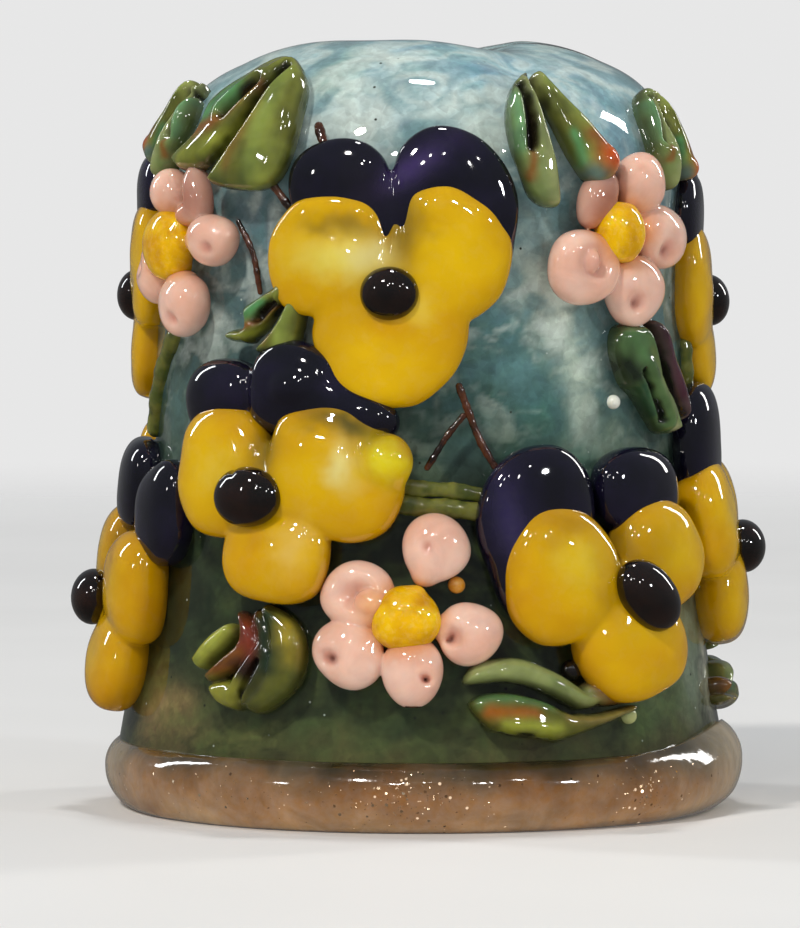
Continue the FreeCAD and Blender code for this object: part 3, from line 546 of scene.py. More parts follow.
def layer_color(xyz):
    x, y, z = xyz.T
    az = np.degrees(np.arctan2(x, -y))
    warp = fbm(xyz * 0.28, 3, 5)
    warp2 = fbm(xyz * 0.35 + 31.7, 3, 9)
    zz = z + 1.1 * warp + 0.4 * fbm(xyz * 1.1, 2, 3)
    hs = np.array([h for h, _ in LAYERS])
    cs = np.array([srgb(*c) for _, c in LAYERS])
    col = np.stack([np.interp(zz, hs, cs[:, i]) for i in range(3)], 1)
    for a0, z0, sa, sz, c, strength in PATCHES:
        da = (az + 6 * warp2 - a0 + 180) % 360 - 180
        m = np.exp(-(da / sa) ** 2 - ((z + 0.7 * warp - z0) / sz) ** 2) * strength
        col = col * (1 - m[:, None]) + srgb(*c) * m[:, None]
    # frit mottling: milky clouds in the sky band, dark glassy pools in the green
    bend = np.stack([fbm(xyz * 0.5 + 3.0, 2, 31), fbm(xyz * 0.5 + 13.0, 2, 33), fbm(xyz * 0.5 + 23.0, 2, 35)], 1)
    cloud = np.clip(fbm((xyz + 1.5 * bend) * np.array([0.62, 0.62, 0.95]) + 7.0, 5, 21) * 1.35 + 0.05, -1, 1)
    up = np.clip((z - 12.0) / 5.0, 0, 1)[:, None]
    milky = srgb(212, 220, 212)
    deep = srgb(92, 132, 140)
    amt = (np.clip(cloud, 0, 1) ** 0.8 * 0.55)[:, None] * up
    col = col * (1 - amt) + milky * amt
    amt = (np.clip(-cloud, 0, 1) * 0.55)[:, None] * up
    col = col * (1 - amt) + deep * amt
    low = 1 - up
    amt = (np.clip(-cloud, 0, 1) * 0.5)[:, None] * low
    col = col * (1 - amt) + srgb(22, 30, 20) * amt
    amt = (np.clip(cloud - 0.15, 0, 1) * 0.35)[:, None] * low
    col = col * (1 - amt) + srgb(84, 100, 52) * amt
    return col


def skin_layer(name, t_out, t_in, s_lo, s_hi, n_s, n_az, material, node, tint_fn=None, bottom_extra=None, with_swell=1.0):
    """A closed layer of the wall between two depths under the casing, from s_lo to s_hi (S_END closes at the axis)."""
    az = np.linspace(-math.pi, math.pi, n_az, endpoint=False)
    ss = np.linspace(s_lo, s_hi, n_s)
    to_axis = s_hi >= S_END - 1e-6
    rings = []
    for depth, order in ((t_out, ss), (t_in, ss[::-1])):
        for s in order:
            r, z = np.interp(s, PSF, PR), np.interp(s, PSF, PZ)
            nr, nz = np.interp(s, PSF, NR), np.interp(s, PSF, NZ)
            w = swell(az, np.full_like(az, s)) * with_swell - depth
            rr = r + w * nr
            zz = z + w * nz
            if to_axis and s > S_END - 1e-6:
                rr = np.zeros_like(rr)
                zz = np.full_like(zz, zz.mean())
            rings.append(np.stack([rr * np.sin(az), -rr * np.cos(az), zz], 1))
    verts = np.concatenate(rings)
    faces = []
    total = len(rings)
    a = np.arange(n_az)
    b = (a + 1) % n_az
    for i in range(total):
        j = (i + 1) % total
        if to_axis and i == n_s - 1:
            continue
        faces.append(np.stack([i * n_az + a, i * n_az + b, j * n_az + b, j * n_az + a], 1))
    faces = np.concatenate(faces)
    # weld the axis rings to single points
    if to_axis:
        keep = np.arange(len(verts))
        for ring in (n_s - 1, n_s):
            keep[ring * n_az:(ring + 1) * n_az] = ring * n_az
        faces = keep[faces]
    used, inv = np.unique(faces, return_inverse=True)
    verts, faces = verts[used], inv.reshape(faces.shape)
    clean = []
    for f in faces:
        g = [f[0]]
        for x in f[1:]:
            if x != g[-1]:
                g.append(x)
        if g[0] == g[-1]:
            g.pop()
        clean.append(g)
    tint = tint_fn(verts) if tint_fn else None
    return make_object(name, verts, clean, material, [node], tint)


def frit_material(name):
    T = Tree(name)
    pos = T.position()
    base = T.tint()
    # crushed-glass grain of several sizes
    grain = T.voronoi(pos, 2.6)
    g2 = T.voronoi(pos, 5.2)
    n1 = T.noise(pos, 1.4, 5.0, 0.62, 0.8)
    val = T.math("MULTIPLY_ADD", T.n("ShaderNodeSeparateColor", i0=grain.outputs["Color"]).outputs[0], 0.20, 0.90)
    val = T.math("MULTIPLY", val, T.math("MULTIPLY_ADD", T.n("ShaderNodeSeparateColor", i0=g2.outputs["Color"]).outputs[1], 0.14, 0.93))
    val = T.math("MULTIPLY", val, T.maprange(n1.outputs[0], 0.3, 0.7, 0.84, 1.16))
    hsv = T.n("ShaderNodeHueSaturation")
    T.set(hsv, "Color", base)
    T.set(hsv, "Value", val)
    n2 = T.noise(pos, 0.8, 3.0, 0.6, 1.2)
    T.set(hsv, "Hue", T.maprange(n2.outputs[0], 0.3, 0.7, 0.482, 0.518))
    color = hsv.outputs[0]
    # dark specks and pale seeds
    sp = T.voronoi(pos, 1.15)
    dark = T.maprange(sp.outputs["Distance"], 0.075, 0.045)
    pick = T.math("GREATER_THAN", T.n("ShaderNodeSeparateColor", i0=sp.outputs["Color"]).outputs[2], 0.45)
    color = T.mix(T.math("MULTIPLY", dark, pick), color, (0.018, 0.020, 0.012))
    sp2 = T.voronoi(pos, 2.1)
    pale = T.maprange(sp2.outputs["Distance"], 0.11, 0.05)
    pick2 = T.math("GREATER_THAN", T.n("ShaderNodeSeparateColor", i0=sp2.outputs["Color"]).outputs[0], 0.86)
    color = T.mix(T.math("MULTIPLY", T.math("MULTIPLY", pale, pick2), 0.75), color, (0.60, 0.66, 0.60))
    p = T.n("ShaderNodeBsdfPrincipled")
    T.set(p, "Base Color", color)
    T.set(p, "Roughness", 0.6)
    T.set(p, "Specular IOR Level", 0.08)
    T.set(p, "Subsurface Weight", 0.10)
    T.set(p, "Subsurface Radius", (1.0, 0.9, 0.7))
    T.set(p, "Subsurface Scale", 0.0004)
    return T.finish(p.outputs[0])


def rim_material(name):
    T = Tree(name)
    pos = T.position()
    base = T.tint()
    n1 = T.noise(pos, 0.7, 4.0, 0.6, 1.0)
    hsv = T.n("ShaderNodeHueSaturation")
    T.set(hsv, "Color", base)
    T.set(hsv, "Value", T.maprange(n1.outputs[0], 0.3, 0.7, 0.82, 1.2))
    n2 = T.noise(pos, 3.0, 3.0, 0.6, 0.3)
    T.set(hsv, "Saturation", T.maprange(n2.outputs[0], 0.3, 0.7, 0.9, 1.12))
    flake = T.voronoi(pos, 5.2)
    fc = T.n("ShaderNodeSeparateColor", i0=flake.outputs["Color"])
    amount = T.n("ShaderNodeAttribute", {"attribute_name": "gold", "attribute_type": "GEOMETRY"}).outputs["Fac"]
    shape = T.maprange(flake.outputs["Distance"], 0.34, 0.22)
    chosen = T.math("LESS_THAN", fc.outputs[0], amount)
    mask = T.math("MULTIPLY", shape, chosen)
    glint = T.math("GREATER_THAN", fc.outputs[1], 0.80)
    tiny = T.voronoi(pos, 13.0)
    tc = T.n("ShaderNodeSeparateColor", i0=tiny.outputs["Color"])
    tmask = T.math("MULTIPLY", T.maprange(tiny.outputs["Distance"], 0.34, 0.2), T.math("LESS_THAN", tc.outputs[0], T.math("MULTIPLY", amount, 0.55)))
    p = T.n("ShaderNodeBsdfPrincipled")
    T.set(p, "Base Color", hsv.outputs[0])
    T.set(p, "Roughness", 0.09)
    T.set(p, "IOR", 1.52)
    T.set(p, "Subsurface Weight", 0.22)
    T.set(p, "Subsurface Radius", (1.0, 0.7, 0.4))
    T.set(p, "Subsurface Scale", 0.0011)
    T.set(p, "Coat Weight", 0.6)
    T.set(p, "Coat Roughness", 0.015)
    wob = T.noise(pos, 0.8, 3.0, 0.5)
    T.set(p, "Normal", T.bump(wob.outputs[0], 0.7, 0.05))
    m = T.n("ShaderNodeBsdfPrincipled")
    T.set(m, "Base Color", T.mix(fc.outputs[2], (0.95, 0.50, 0.22), (1.0, 0.80, 0.55)))
    T.set(m, "Metallic", 1.0)
    T.set(m, "Roughness", 0.22)
    T.set(m, "Coat Weight", 0.8)
    T.set(m, "Coat Roughness", 0.02)
    # every flake lies its own way
    vm = T.n("ShaderNodeVectorMath", {"operation": "SUBTRACT"})
    T.set(vm, "i0", flake.outputs["Color"])
    T.set(vm, "i1", (0.5, 0.5, 0.5))
    sc = T.n("ShaderNodeVectorMath", {"operation": "SCALE"})
    T.set(sc, "i0", vm.outputs[0])
    sc.inputs["Scale"].default_value = 1.5
    geo = T.n("ShaderNodeNewGeometry")
    ad = T.n("ShaderNodeVectorMath", {"operation": "ADD"})
    T.set(ad, "i0", geo.outputs["Normal"])
    T.set(ad, "i1", sc.outputs[0])
    nm = T.n("ShaderNodeVectorMath", {"operation": "NORMALIZE"})
    T.set(nm, "i0", ad.outputs[0])
    T.set(m, "Normal", nm.outputs[0])
    # the chosen flakes glow orange: painted glints
    T.set(m, "Emission Color", (1.0, 0.75, 0.5))
    T.set(m, "Emission Strength", T.math("MULTIPLY", glint, 0.9))
    mx = T.n("ShaderNodeMixShader")
    T.set(mx, "i0", T.math("MAXIMUM", mask, tmask))
    T.t.links.new(p.outputs[0], mx.inputs[1])
    T.t.links.new(m.outputs[0], mx.inputs[2])
    return T.finish(mx.outputs[0])


MAT = {}
MAT["yellow"] = opaque_glass("glass_yellow_pansy", wash=0.05, swirl=0.45, rough=0.045, sss=0.12, radius=(1.0, 0.78, 0.12), sss_scale=0.5)
MAT["violet"] = opaque_glass("glass_violet_pansy", wash=0.22, swirl=0.5, rough=0.04, sss=0.04, radius=(0.5, 0.4, 1.0), sss_scale=0.3)
MAT["eye"] = opaque_glass("glass_black_brown", wash=0.4, swirl=0.9, rough=0.035, sss=0.05, radius=(1.0, 0.4, 0.2), sss_scale=0.2)
MAT["blush"] = opaque_glass("glass_blush", wash=0.08, swirl=0.9, rough=0.06, sss=0.45, radius=(1.0, 0.5, 0.35), sss_scale=0.8)
MAT["golden"] = opaque_glass("glass_golden", wash=0.14, swirl=1.0, rough=0.06, sss=0.35, radius=(1.0, 0.62, 0.12), sss_scale=0.6)
MAT["leaf"] = opaque_glass("glass_leaf", wash=0.08, swirl=0.8, rough=0.05, sss=0.2, radius=(0.7, 1.0, 0.3), sss_scale=0.5)
MAT["stem"] = opaque_glass("glass_olive_rod", wash=0.2, swirl=1.0, rough=0.04, sss=0.5, radius=(0.8, 1.0, 0.3), sss_scale=0.9)
MAT["twig"] = opaque_glass("glass_twig", wash=0.3, swirl=2.5, rough=0.08, sss=0.1, radius=(1.0, 0.5, 0.3), sss_scale=0.2)
MAT["dot"] = opaque_glass("glass_bead", wash=0.15, swirl=2.0, rough=0.04, sss=0.4, radius=(1.0, 0.8, 0.5), sss_scale=0.5)
MAT["casing"] = clear_glass("glass_clear_casing")
MAT["frit"] = frit_material("glass_frit_layers")
MAT["rim"] = rim_material("glass_copper_tan_rim")

# ------------------------------------------------------------------ the wall
N_AZ = 360
S_LAP = s_of(11.55)
casing = skin_layer("casing_glass", 0.0, 0.80, -0.10, S_END, 200, N_AZ, MAT["casing"], "clear_casing")
sky = skin_layer("sky_glass", 0.70, 1.28, S_LAP, S_END, 190, N_AZ, MAT["frit"], "sky_layer", layer_color, with_swell=0.5)
meadow = skin_layer("meadow_glass", 0.70, 1.28, -0.05, S_LAP, 110, N_AZ, MAT["frit"], "meadow_layer", layer_color, with_swell=0.5)


# ------------------------------------------------------------------ the foot coil
def foot_coil():
    n_az = N_AZ
    az = np.linspace(-math.pi, math.pi, n_az, endpoint=False)
    outline = []
    # walked up the outside from the flat underside, over the bulge, into the crease
    for t in np.linspace(0, 1, 8):
        outline.append((10.2 + 0.62 * t, 0.0, 0))
    low = arc_points((10.85, 0.0), (11.75, 1.45), 1.60, -1, 16)
    up = arc_points((11.75, 1.45), (11.15, 2.5), 1.10, -1, 16)
    outline += [(r, z, 1) for r, z in low[1:]] + [(r, z, 1) for r, z in up[1:]]
    outline += [(10.9, 2.42, 2), (10.4, 2.38, 2), (9.86, 2.3, 2), (9.86, 1.2, 2), (9.86, 0.42, 2), (10.0, 0.12, 2)]
    rings = []
    for i, (r, z, kind) in enumerate(outline):
        lift = (0.05 * np.cos(3 * az + 0.7) + 0.04 * np.cos(5 * az - 1.2) + 0.03 * np.cos(9 * az + 0.3))
        rr, zz = np.full(n_az, r), np.full(n_az, z)
        if kind == 1:
            f = max(0.0, math.sin(math.pi * min(1.0, z / 2.5)))
            rr = rr + f * (0.07 * np.cos(2 * az - 0.9) + 0.06 * np.cos(4 * az + 1.7) + 0.035 * np.cos(7 * az)) + f * 0.02 * np.cos(13 * az + 1.0)
            zz = zz + f * lift
            # the coil's overlap: fuller towards the right, thinner at the left
            flare = np.exp(-((np.degrees(az) - 78 + 180) % 360 - 180) ** 2 / 22.0 ** 2)
            rr = rr + 0.20 * f * flare
            zz = zz + 0.75 * flare * np.clip((z - 0.6) / 1.9, 0, 1)
        rings.append(np.stack([rr * np.sin(az), -rr * np.cos(az), zz], 1))
    verts = np.concatenate(rings)
    n = len(rings)
    a = np.arange(n_az)
    b = (a + 1) % n_az
    faces = np.concatenate([np.stack([i * n_az + a, i * n_az + b, ((i + 1) % n) * n_az + b, ((i + 1) % n) * n_az + a], 1) for i in range(n)])
    x, y, z = verts.T
    azd = np.degrees(np.arctan2(x, -y))
    w = fbm(verts * 0.5, 3, 77)
    zz = z + 0.35 * w
    hs = [-0.3, 0.25, 0.7, 1.3, 1.8, 2.2, 2.6]
    cs = np.array([srgb(*c) for c in ((204, 170, 130), (192, 152, 112), (166, 126, 90), (142, 102, 68), (112, 80, 50), (74, 56, 34), (46, 42, 26))])
    col = np.stack([np.interp(zz, hs, cs[:, i]) for i in range(3)], 1)
    pale = np.exp(-((azd - 80 + 180) % 360 - 180) ** 2 / 20.0 ** 2) * 1.0 + np.exp(-((azd + 85 + 180) % 360 - 180) ** 2 / 18.0 ** 2) * 0.4 + np.exp(-((azd - 170 + 180) % 360 - 180) ** 2 / 30.0 ** 2) * 0.35
    pale = np.clip(pale + 0.25 * fbm(verts * 0.25, 2, 5), 0, 1)[:, None]
    col = col * (1 - pale) + srgb(208, 190, 160) * pale
    gold = np.clip(np.exp(-((z - 1.3) / 0.75) ** 2), 0, 1)
    near = 1.2 * np.exp(-((azd + 2.5) / 8.5) ** 2) + 0.9 * np.exp(-((azd - 43.5) / 5.0) ** 2) + 0.22 * np.exp(-((azd + 36) / 12.0) ** 2) + 0.5 * np.exp(-((azd - 140) / 22.0) ** 2) + 0.5 * np.exp(-((azd + 140) / 22.0) ** 2)
    gold = gold * np.clip(0.03 + 0.55 * near, 0, 0.62) * (1 - 0.8 * pale[:, 0])
    return make_object("foot_coil_glass", verts, faces, MAT["rim"], ["rim_coil"], col, {"gold": gold})


foot_coil()

# ------------------------------------------------------------------ where the CAD put things
def cad_solids(node):
    """Centre and box of each separate solid of a CAD node, mm."""
    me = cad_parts[node].data
    co = np.empty(len(me.vertices) * 3, np.float32)
    me.vertices.foreach_get("co", co)
    co = co.reshape(-1, 3) * 1000
    uniq, inv = np.unique(np.round(co, 3), axis=0, return_inverse=True)
    inv = inv.ravel()
    ed = np.empty(len(me.edges) * 2, np.int64)
    me.edges.foreach_get("vertices", ed)
    ed = inv[ed.reshape(-1, 2)]
    lab = np.arange(len(uniq))
    while True:
        low = np.minimum(lab[ed[:, 0]], lab[ed[:, 1]])
        new = lab.copy()
        np.minimum.at(new, ed[:, 0], low)
        np.minimum.at(new, ed[:, 1], low)
        new = new[new]
        if (new == lab).all():
            break
        lab = new
    out = []
    for c in np.unique(lab):
        pts = uniq[lab == c]
        if len(pts) > 20:
            lo, hi = pts.min(0), pts.max(0)
            out.append(((lo + hi) / 2, lo, hi))
    return out


def az_z(p):
    return math.degrees(math.atan2(p[0], -p[1])), p[2]


def nearest(found, az, z):
    """The CAD solid nearest to a place on the wall, as (azimuth, height)."""
    best = None
    for c, lo, hi in found:
        a, zz = az_z(c)
        d = math.hypot(((a - az + 180) % 360 - 180) * 0.17, zz - z)
        if best is None or d < best[0]:
            best = (d, a, zz)
    if best is None or best[0] > 1.5:
        raise RuntimeError("no CAD solid near %g, %g" % (az, z))
    return best[1], best[2]


# petals relative to the flower's eye: across, up (mm), half-width, half-height
def rel(eye, az, z):
    r = r_of(eye[1])
    return math.radians((az - eye[0] + 180) % 360 - 180) * r, s_of(z) - s_of(eye[1])


PANSIES = {
    "pansy_front_upper": ("thin", dict(dark_left=(-17.1, 22.5, 1.85, 1.75), dark_right=(5.3, 22.4, 2.25, 2.15),
                                       yellow_left=(-18.4, 20.1, 2.2, 2.2), yellow_right=(4.8, 20.1, 2.15, 2.45),
                                       yellow_low=(-6.0, 17.0, 2.6, 2.35), eye=(-6.2, 18.8, 0.94, 0.94))),
    "pansy_front_left": ("thick", dict(dark_left=(-43.3, 15.0, 1.7, 1.4), dark_right=(-26.1, 15.3, 1.95, 1.7),
                                       yellow_left=(-40.2, 12.3, 1.95, 2.4), yellow_right=(-18.1, 12.4, 2.6, 2.4),
                                       yellow_low=(-28.4, 9.5, 1.85, 1.75), eye=(-31.5, 11.45, 1.12, 1.08))),
    "pansy_front_right": ("thick", dict(dark_left=(23.6, 11.0, 2.35, 2.25), dark_right=(47.9, 11.5, 2.1, 1.7),
                                        yellow_left=(26.8, 8.65, 2.2, 2.45), yellow_right=(50.3, 9.2, 2.1, 2.05),
                                        yellow_low=(41.2, 6.2, 2.2, 2.1), eye=(41.0, 7.8, 1.1, 1.3))),
    "pansy_left_low": ("thick", dict(dark_left=(-84.0, 11.6, 2.0, 1.8), dark_right=(-63.0, 10.7, 1.6, 1.9),
                                     yellow_left=(-94.0, 8.8, 2.0, 2.1), yellow_right=(-71.0, 7.9, 1.9, 2.1),
                                     yellow_low=(-78.0, 5.2, 2.0, 1.95), eye=(-84.0, 7.3, 1.0, 1.05))),
    "pansy_right_low": ("thick", dict(dark_left=(77.5, 13.1, 1.8, 2.3), dark_right=(98.0, 13.2, 1.9, 1.9),
                                      yellow_left=(77.0, 10.4, 1.95, 2.2), yellow_right=(99.0, 10.5, 2.3, 2.2),
                                      yellow_low=(86.0, 7.6, 2.1, 2.0), eye=(87.0, 9.2, 1.0, 1.0))),
    "pansy_right_upper": ("thin", dict(dark_left=(81.0, 21.6, 1.8, 1.6), dark_right=(101.0, 22.2, 1.9, 1.7),
                                       yellow_left=(81.5, 19.1, 1.9, 2.2), yellow_right=(104.0, 19.6, 2.2, 2.3),
                                       yellow_low=(92.0, 16.8, 2.3, 1.9), eye=(92.5, 18.6, 0.95, 0.95))),
    "pansy_left_upper": ("thin", dict(dark_left=(-106.0, 22.3, 1.9, 1.7), dark_right=(-86.5, 22.4, 1.8, 1.6),
                                      yellow_left=(-107.5, 19.8, 2.2, 2.2), yellow_right=(-84.5, 19.9, 2.0, 2.2),
                                      yellow_low=(-96.5, 17.0, 2.3, 2.1), eye=(-96.5, 18.8, 0.95, 0.95))),
    "pansy_back_upper": ("thin", dict(dark_left=(169.0, 22.4, 2.1, 1.9), dark_right=(-169.0, 22.3, 1.9, 1.8),
                                      yellow_left=(168.0, 20.0, 2.2, 2.3), yellow_right=(-168.5, 20.1, 2.1, 2.2),
                                      yellow_low=(180.0, 17.0, 2.5, 2.2), eye=(180.0, 18.8, 0.95, 0.95))),
    "pansy_back_right": ("thick", dict(dark_left=(121.5, 14.4, 2.0, 1.8), dark_right=(142.0, 14.0, 1.9, 1.8),
                                       yellow_left=(121.0, 11.7, 2.1, 2.2), yellow_right=(143.0, 11.4, 2.1, 2.2),
                                       yellow_low=(131.0, 8.7, 2.1, 1.9), eye=(132.0, 10.5, 1.0, 1.0))),
    "pansy_back_low": ("thick", dict(dark_left=(170.0, 11.6, 2.1, 2.0), dark_right=(-168.5, 11.3, 1.9, 1.8),
                                     yellow_left=(170.5, 8.9, 2.1, 2.2), yellow_right=(-167.5, 8.7, 2.0, 2.1),
                                     yellow_low=(-179.0, 6.0, 2.1, 1.9), eye=(-178.5, 7.7, 1.0, 1.0))),
    "pansy_back_left": ("thick", dict(dark_left=(-140.0, 14.5, 1.8, 1.6), dark_right=(-120.5, 14.9, 2.0, 1.8),
                                      yellow_left=(-141.0, 12.0, 2.0, 2.2), yellow_right=(-119.0, 12.1, 2.2, 2.2),
                                      yellow_low=(-130.0, 9.3, 2.0, 1.9), eye=(-130.5, 11.1, 1.05, 1.0))),
}
# shape notes for single petals: turn, squareness, taper, outline waves, tip (slope across, up)
SHAPES = {
    "pansy_front_upper": dict(
        dark_left=dict(rot=15, n=2.2, lobes=((2, 0.03, 0.5), (3, 0.03, 1.0))),
        dark_right=dict(rot=-20, n=2.2, lobes=((3, 0.03, 0.0),)),
        yellow_left=dict(rot=0, n=2.7, lobes=((3, 0.045, 2.2), (4, 0.02, 0.8)), lean=(-0.05, 0.02)),
        yellow_right=dict(rot=-8, n=2.35, lobes=((3, 0.03, 0.6),), lean=(-0.02, 0.03)),
        yellow_low=dict(rot=8, n=2.2, taper=0.36, lobes=((3, 0.05, 1.6), (5, 0.015, 0.2)), lean=(0.0, -0.03))),
    "pansy_front_left": dict(
        dark_left=dict(rot=20, n=2.2, lobes=((3, 0.04, 0.4),)),
        dark_right=dict(rot=-10, n=2.2, lobes=((3, 0.03, 1.4),)),
        yellow_left=dict(rot=-4, n=2.4, taper=0.04, lobes=((3, 0.03, 1.2),), lean=(-0.03, 0.0)),
        yellow_right=dict(rot=-28, n=2.25, lobes=((3, 0.05, 0.7), (4, 0.02, 2.0)), lean=(-0.03, -0.03)),
        yellow_low=dict(rot=-10, n=3.2, taper=0.04, lobes=((4, 0.02, 0.6),), lean=(0.05, -0.05))),
    "pansy_front_right": dict(
        dark_left=dict(rot=0, n=2.2, lobes=((3, 0.03, 2.0),), lean=(-0.10, 0.05)),
        dark_right=dict(rot=0, n=2.3, lobes=((2, 0.03, 0.5),)),
        yellow_left=dict(rot=8, n=2.4, lobes=((3, 0.035, 0.9), (4, 0.015, 0.0)), lean=(-0.03, 0.0)),
        yellow_right=dict(rot=20, n=2.3, lobes=((3, 0.03, 0.4),), lean=(0.03, 0.03)),
        yellow_low=dict(rot=28, n=2.4, taper=0.06, lobes=((3, 0.03, 2.6),), lean=(0.03, -0.03))),
}
LEVEL = {  # seat height and half-thickness of each layer of petals
    "thin": dict(dark=(0.12, 0.62), yellow=(0.26, 0.76), eye=(0.92, 0.74)),
    "thick": dict(dark=(0.34, 0.92), yellow=(0.66, 1.10), eye=(1.74, 0.82)),
}
YELLOW = srgb(214, 168, 2)
AMBER = srgb(192, 134, 0)
LEMON = srgb(232, 208, 96)
CREAM = srgb(214, 200, 128)
SEAM_SHADE_OLIVE = srgb(96, 88, 30)
NAVY = srgb(11, 10, 22)
VIOLET = srgb(25, 20, 46)
EYE = srgb(12, 7, 6)
EYE_BROWN = srgb(30, 15, 10)

eyes_found = cad_solids("pansy_eyes")
centres_found = cad_solids("blossom_centres")
rng = np.random.default_rng(SEED)


def soft(p, c, su, sv, rot=0.0):
    ct, st = math.cos(math.radians(rot)), math.sin(math.radians(rot))
    x = (p[:, 0] - c[0]) * ct + (p[:, 1] - c[1]) * st
    y = -(p[:, 0] - c[0]) * st + (p[:, 1] - c[1]) * ct
    return np.exp(-(x / su) ** 2 - (y / sv) ** 2)


def mixed(col, to, m):
    m = np.clip(m, 0, 1)[:, None]
    return col * (1 - m) + to * m


eye_parts = []
for fi, (name, (thick, table)) in enumerate(PANSIES.items()):
    want = table["eye"]
    at = nearest(eyes_found, want[0], want[1])
    shift = (at[0] - want[0], at[1] - want[1])
    eye = (want[0], want[1])
    anchor_az, anchor_s = at[0], s_of(at[1])
    pos = {k2: rel(eye, v[0], v[1]) for k2, v in table.items()}
    shapes = SHAPES.get(name, {})
    rnd = np.random.default_rng(SEED + 7 * fi)

    def petal(p, key, grow=1.0, extra_w=0.0):
        az, z, a, b = table[key][:4]
        w0, t = LEVEL[thick][key.split("_")[0]]
        sh = dict(shapes.get(key) or auto[key])
        sh.setdefault("m", 2.9 if thick == "thin" else 2.5)
        return pebble(p, pos[key], a * grow, b * grow, w0=w0 + extra_w, t=t, **sh)

    auto = {}
    for key in table:
        ph = rnd.uniform(0, 6.28, 3)
        auto[key] = dict(rot=rnd.uniform(-12, 12), n=rnd.uniform(2.2, 2.6), lobes=((3, 0.04, ph[0]), (4, 0.02, ph[1])),
                         lean=(rnd.uniform(-0.04, 0.04), rnd.uniform(-0.04, 0.04)), taper=0.08 if key == "yellow_low" else 0.0)
    front1, front2, front3 = name == "pansy_front_upper", name == "pansy_front_left", name == "pansy_front_right"

    # --- the two dark petals
    def dark(p):
        l, r = petal(p, "dark_left"), petal(p, "dark_right")
        if front1:
            r = smin(r, pebble(p, (pos["dark_right"][0] + 1.1, pos["dark_right"][1] - 1.7), 1.25, 2.1, w0=0.12, t=0.62, rot=-4), 0.5)
        if front2:
            r = smin(r, pebble(p, (pos["dark_right"][0] + 2.3, pos["dark_right"][1] - 0.85), 1.5, 0.9, w0=0.3, t=0.85, rot=-22), 0.5)
            r = smin(r, pebble(p, (pos["dark_right"][0] + 0.15, pos["dark_right"][1] + 0.1), 0.62, 0.55, w0=1.05, t=0.38), 0.22)
        if front3:
            l = smin(l, pebble(p, (pos["dark_left"][0] - 0.75, pos["dark_left"][1] - 1.9), 1.25, 2.2, w0=0.3, t=0.85, rot=12), 0.6)
        d = smin(l, r, 0.10)
        if front1:
            d = smin(d, pebble(p, ((pos["dark_left"][0] + pos["dark_right"][0]) / 2 + 0.1, pos["dark_left"][1] - 1.0), 1.1, 1.5, w0=0.08, t=0.55, m=2.8), 0.3)
        mid = ((pos["dark_left"][0] + pos["dark_right"][0]) / 2, (pos["dark_left"][1] + pos["dark_right"][1]) / 2 + 0.5)
        d = d + dent(p, mid, 0.16, 1.7, 0.10)
        q = p * 1.0
        return d + 0.035 * np.sin(q[..., 0] * 1.9 + fi) * np.sin(q[..., 1] * 1.6 + 2 * fi) * np.cos(q[..., 2] * 1.3)

    lo = [min(pos[q][0] - table[q][2] * 1.25 for q in ("dark_left", "dark_right")) - 1.3, min(pos[q][1] - table[q][3] * 1.25 for q in ("dark_left", "dark_right")) - (2.6 if front3 or front1 else 0.3), -0.2]
    hi = [max(pos[q][0] + table[q][2] * 1.25 for q in ("dark_left", "dark_right")) + 1.9, max(pos[q][1] + table[q][3] * 1.25 for q in ("dark_left", "dark_right")) + 0.3, LEVEL[thick]["dark"][0] + LEVEL[thick]["dark"][1] + 0.35]
    v, f = carve(dark, lo, hi)
    col = np.tile(NAVY, (len(v), 1))
    n3 = fbm(v * 0.7 + fi * 5, 3, 41)
    col = mixed(col, VIOLET, 0.22 + 0.4 * n3)
    if front1:
        # lighter violet streak down the right dark petal: painted highlight
        col = mixed(col, srgb(70, 54, 104), 0.8 * soft(v, (pos["dark_right"][0] - 1.25, pos["dark_right"][1] + 0.75), 0.45, 1.3, -58))
        col = mixed(col, srgb(20, 18, 28), 0.7 * soft(v, (pos["dark_left"][0] + 1.0, pos["dark_left"][1] - 0.1), 0.8, 1.3, 20))
    if front3:
        # lighter violet streak on the left dark petal: painted sheen
        col = mixed(col, srgb(56, 48, 88), 0.6 * soft(v, (pos["dark_left"][0] - 1.4, pos["dark_left"][1] - 0.6), 0.5, 1.8, 12))
    # darker towards the wall at each petal's foot: painted shade under the undercut edge
    edge = np.clip((0.35 - v[:, 2]) / 0.35, 0, 1)
    col = mixed(col, srgb(14, 12, 22), 0.5 * edge)
    make_object(name + "_dark_glass", to_world(anchor_az, anchor_s, v), f, MAT["violet"], [name + "_dark_petals"], col)

    # --- the three yellow petals, melted together round the eye
    def yellow(p):
        l, r, b = petal(p, "yellow_left"), petal(p, "yellow_right"), petal(p, "yellow_low")
        kk = 0.16 if thick == "thin" else 0.14
        d = smin(smin(l, b, kk), r, kk)
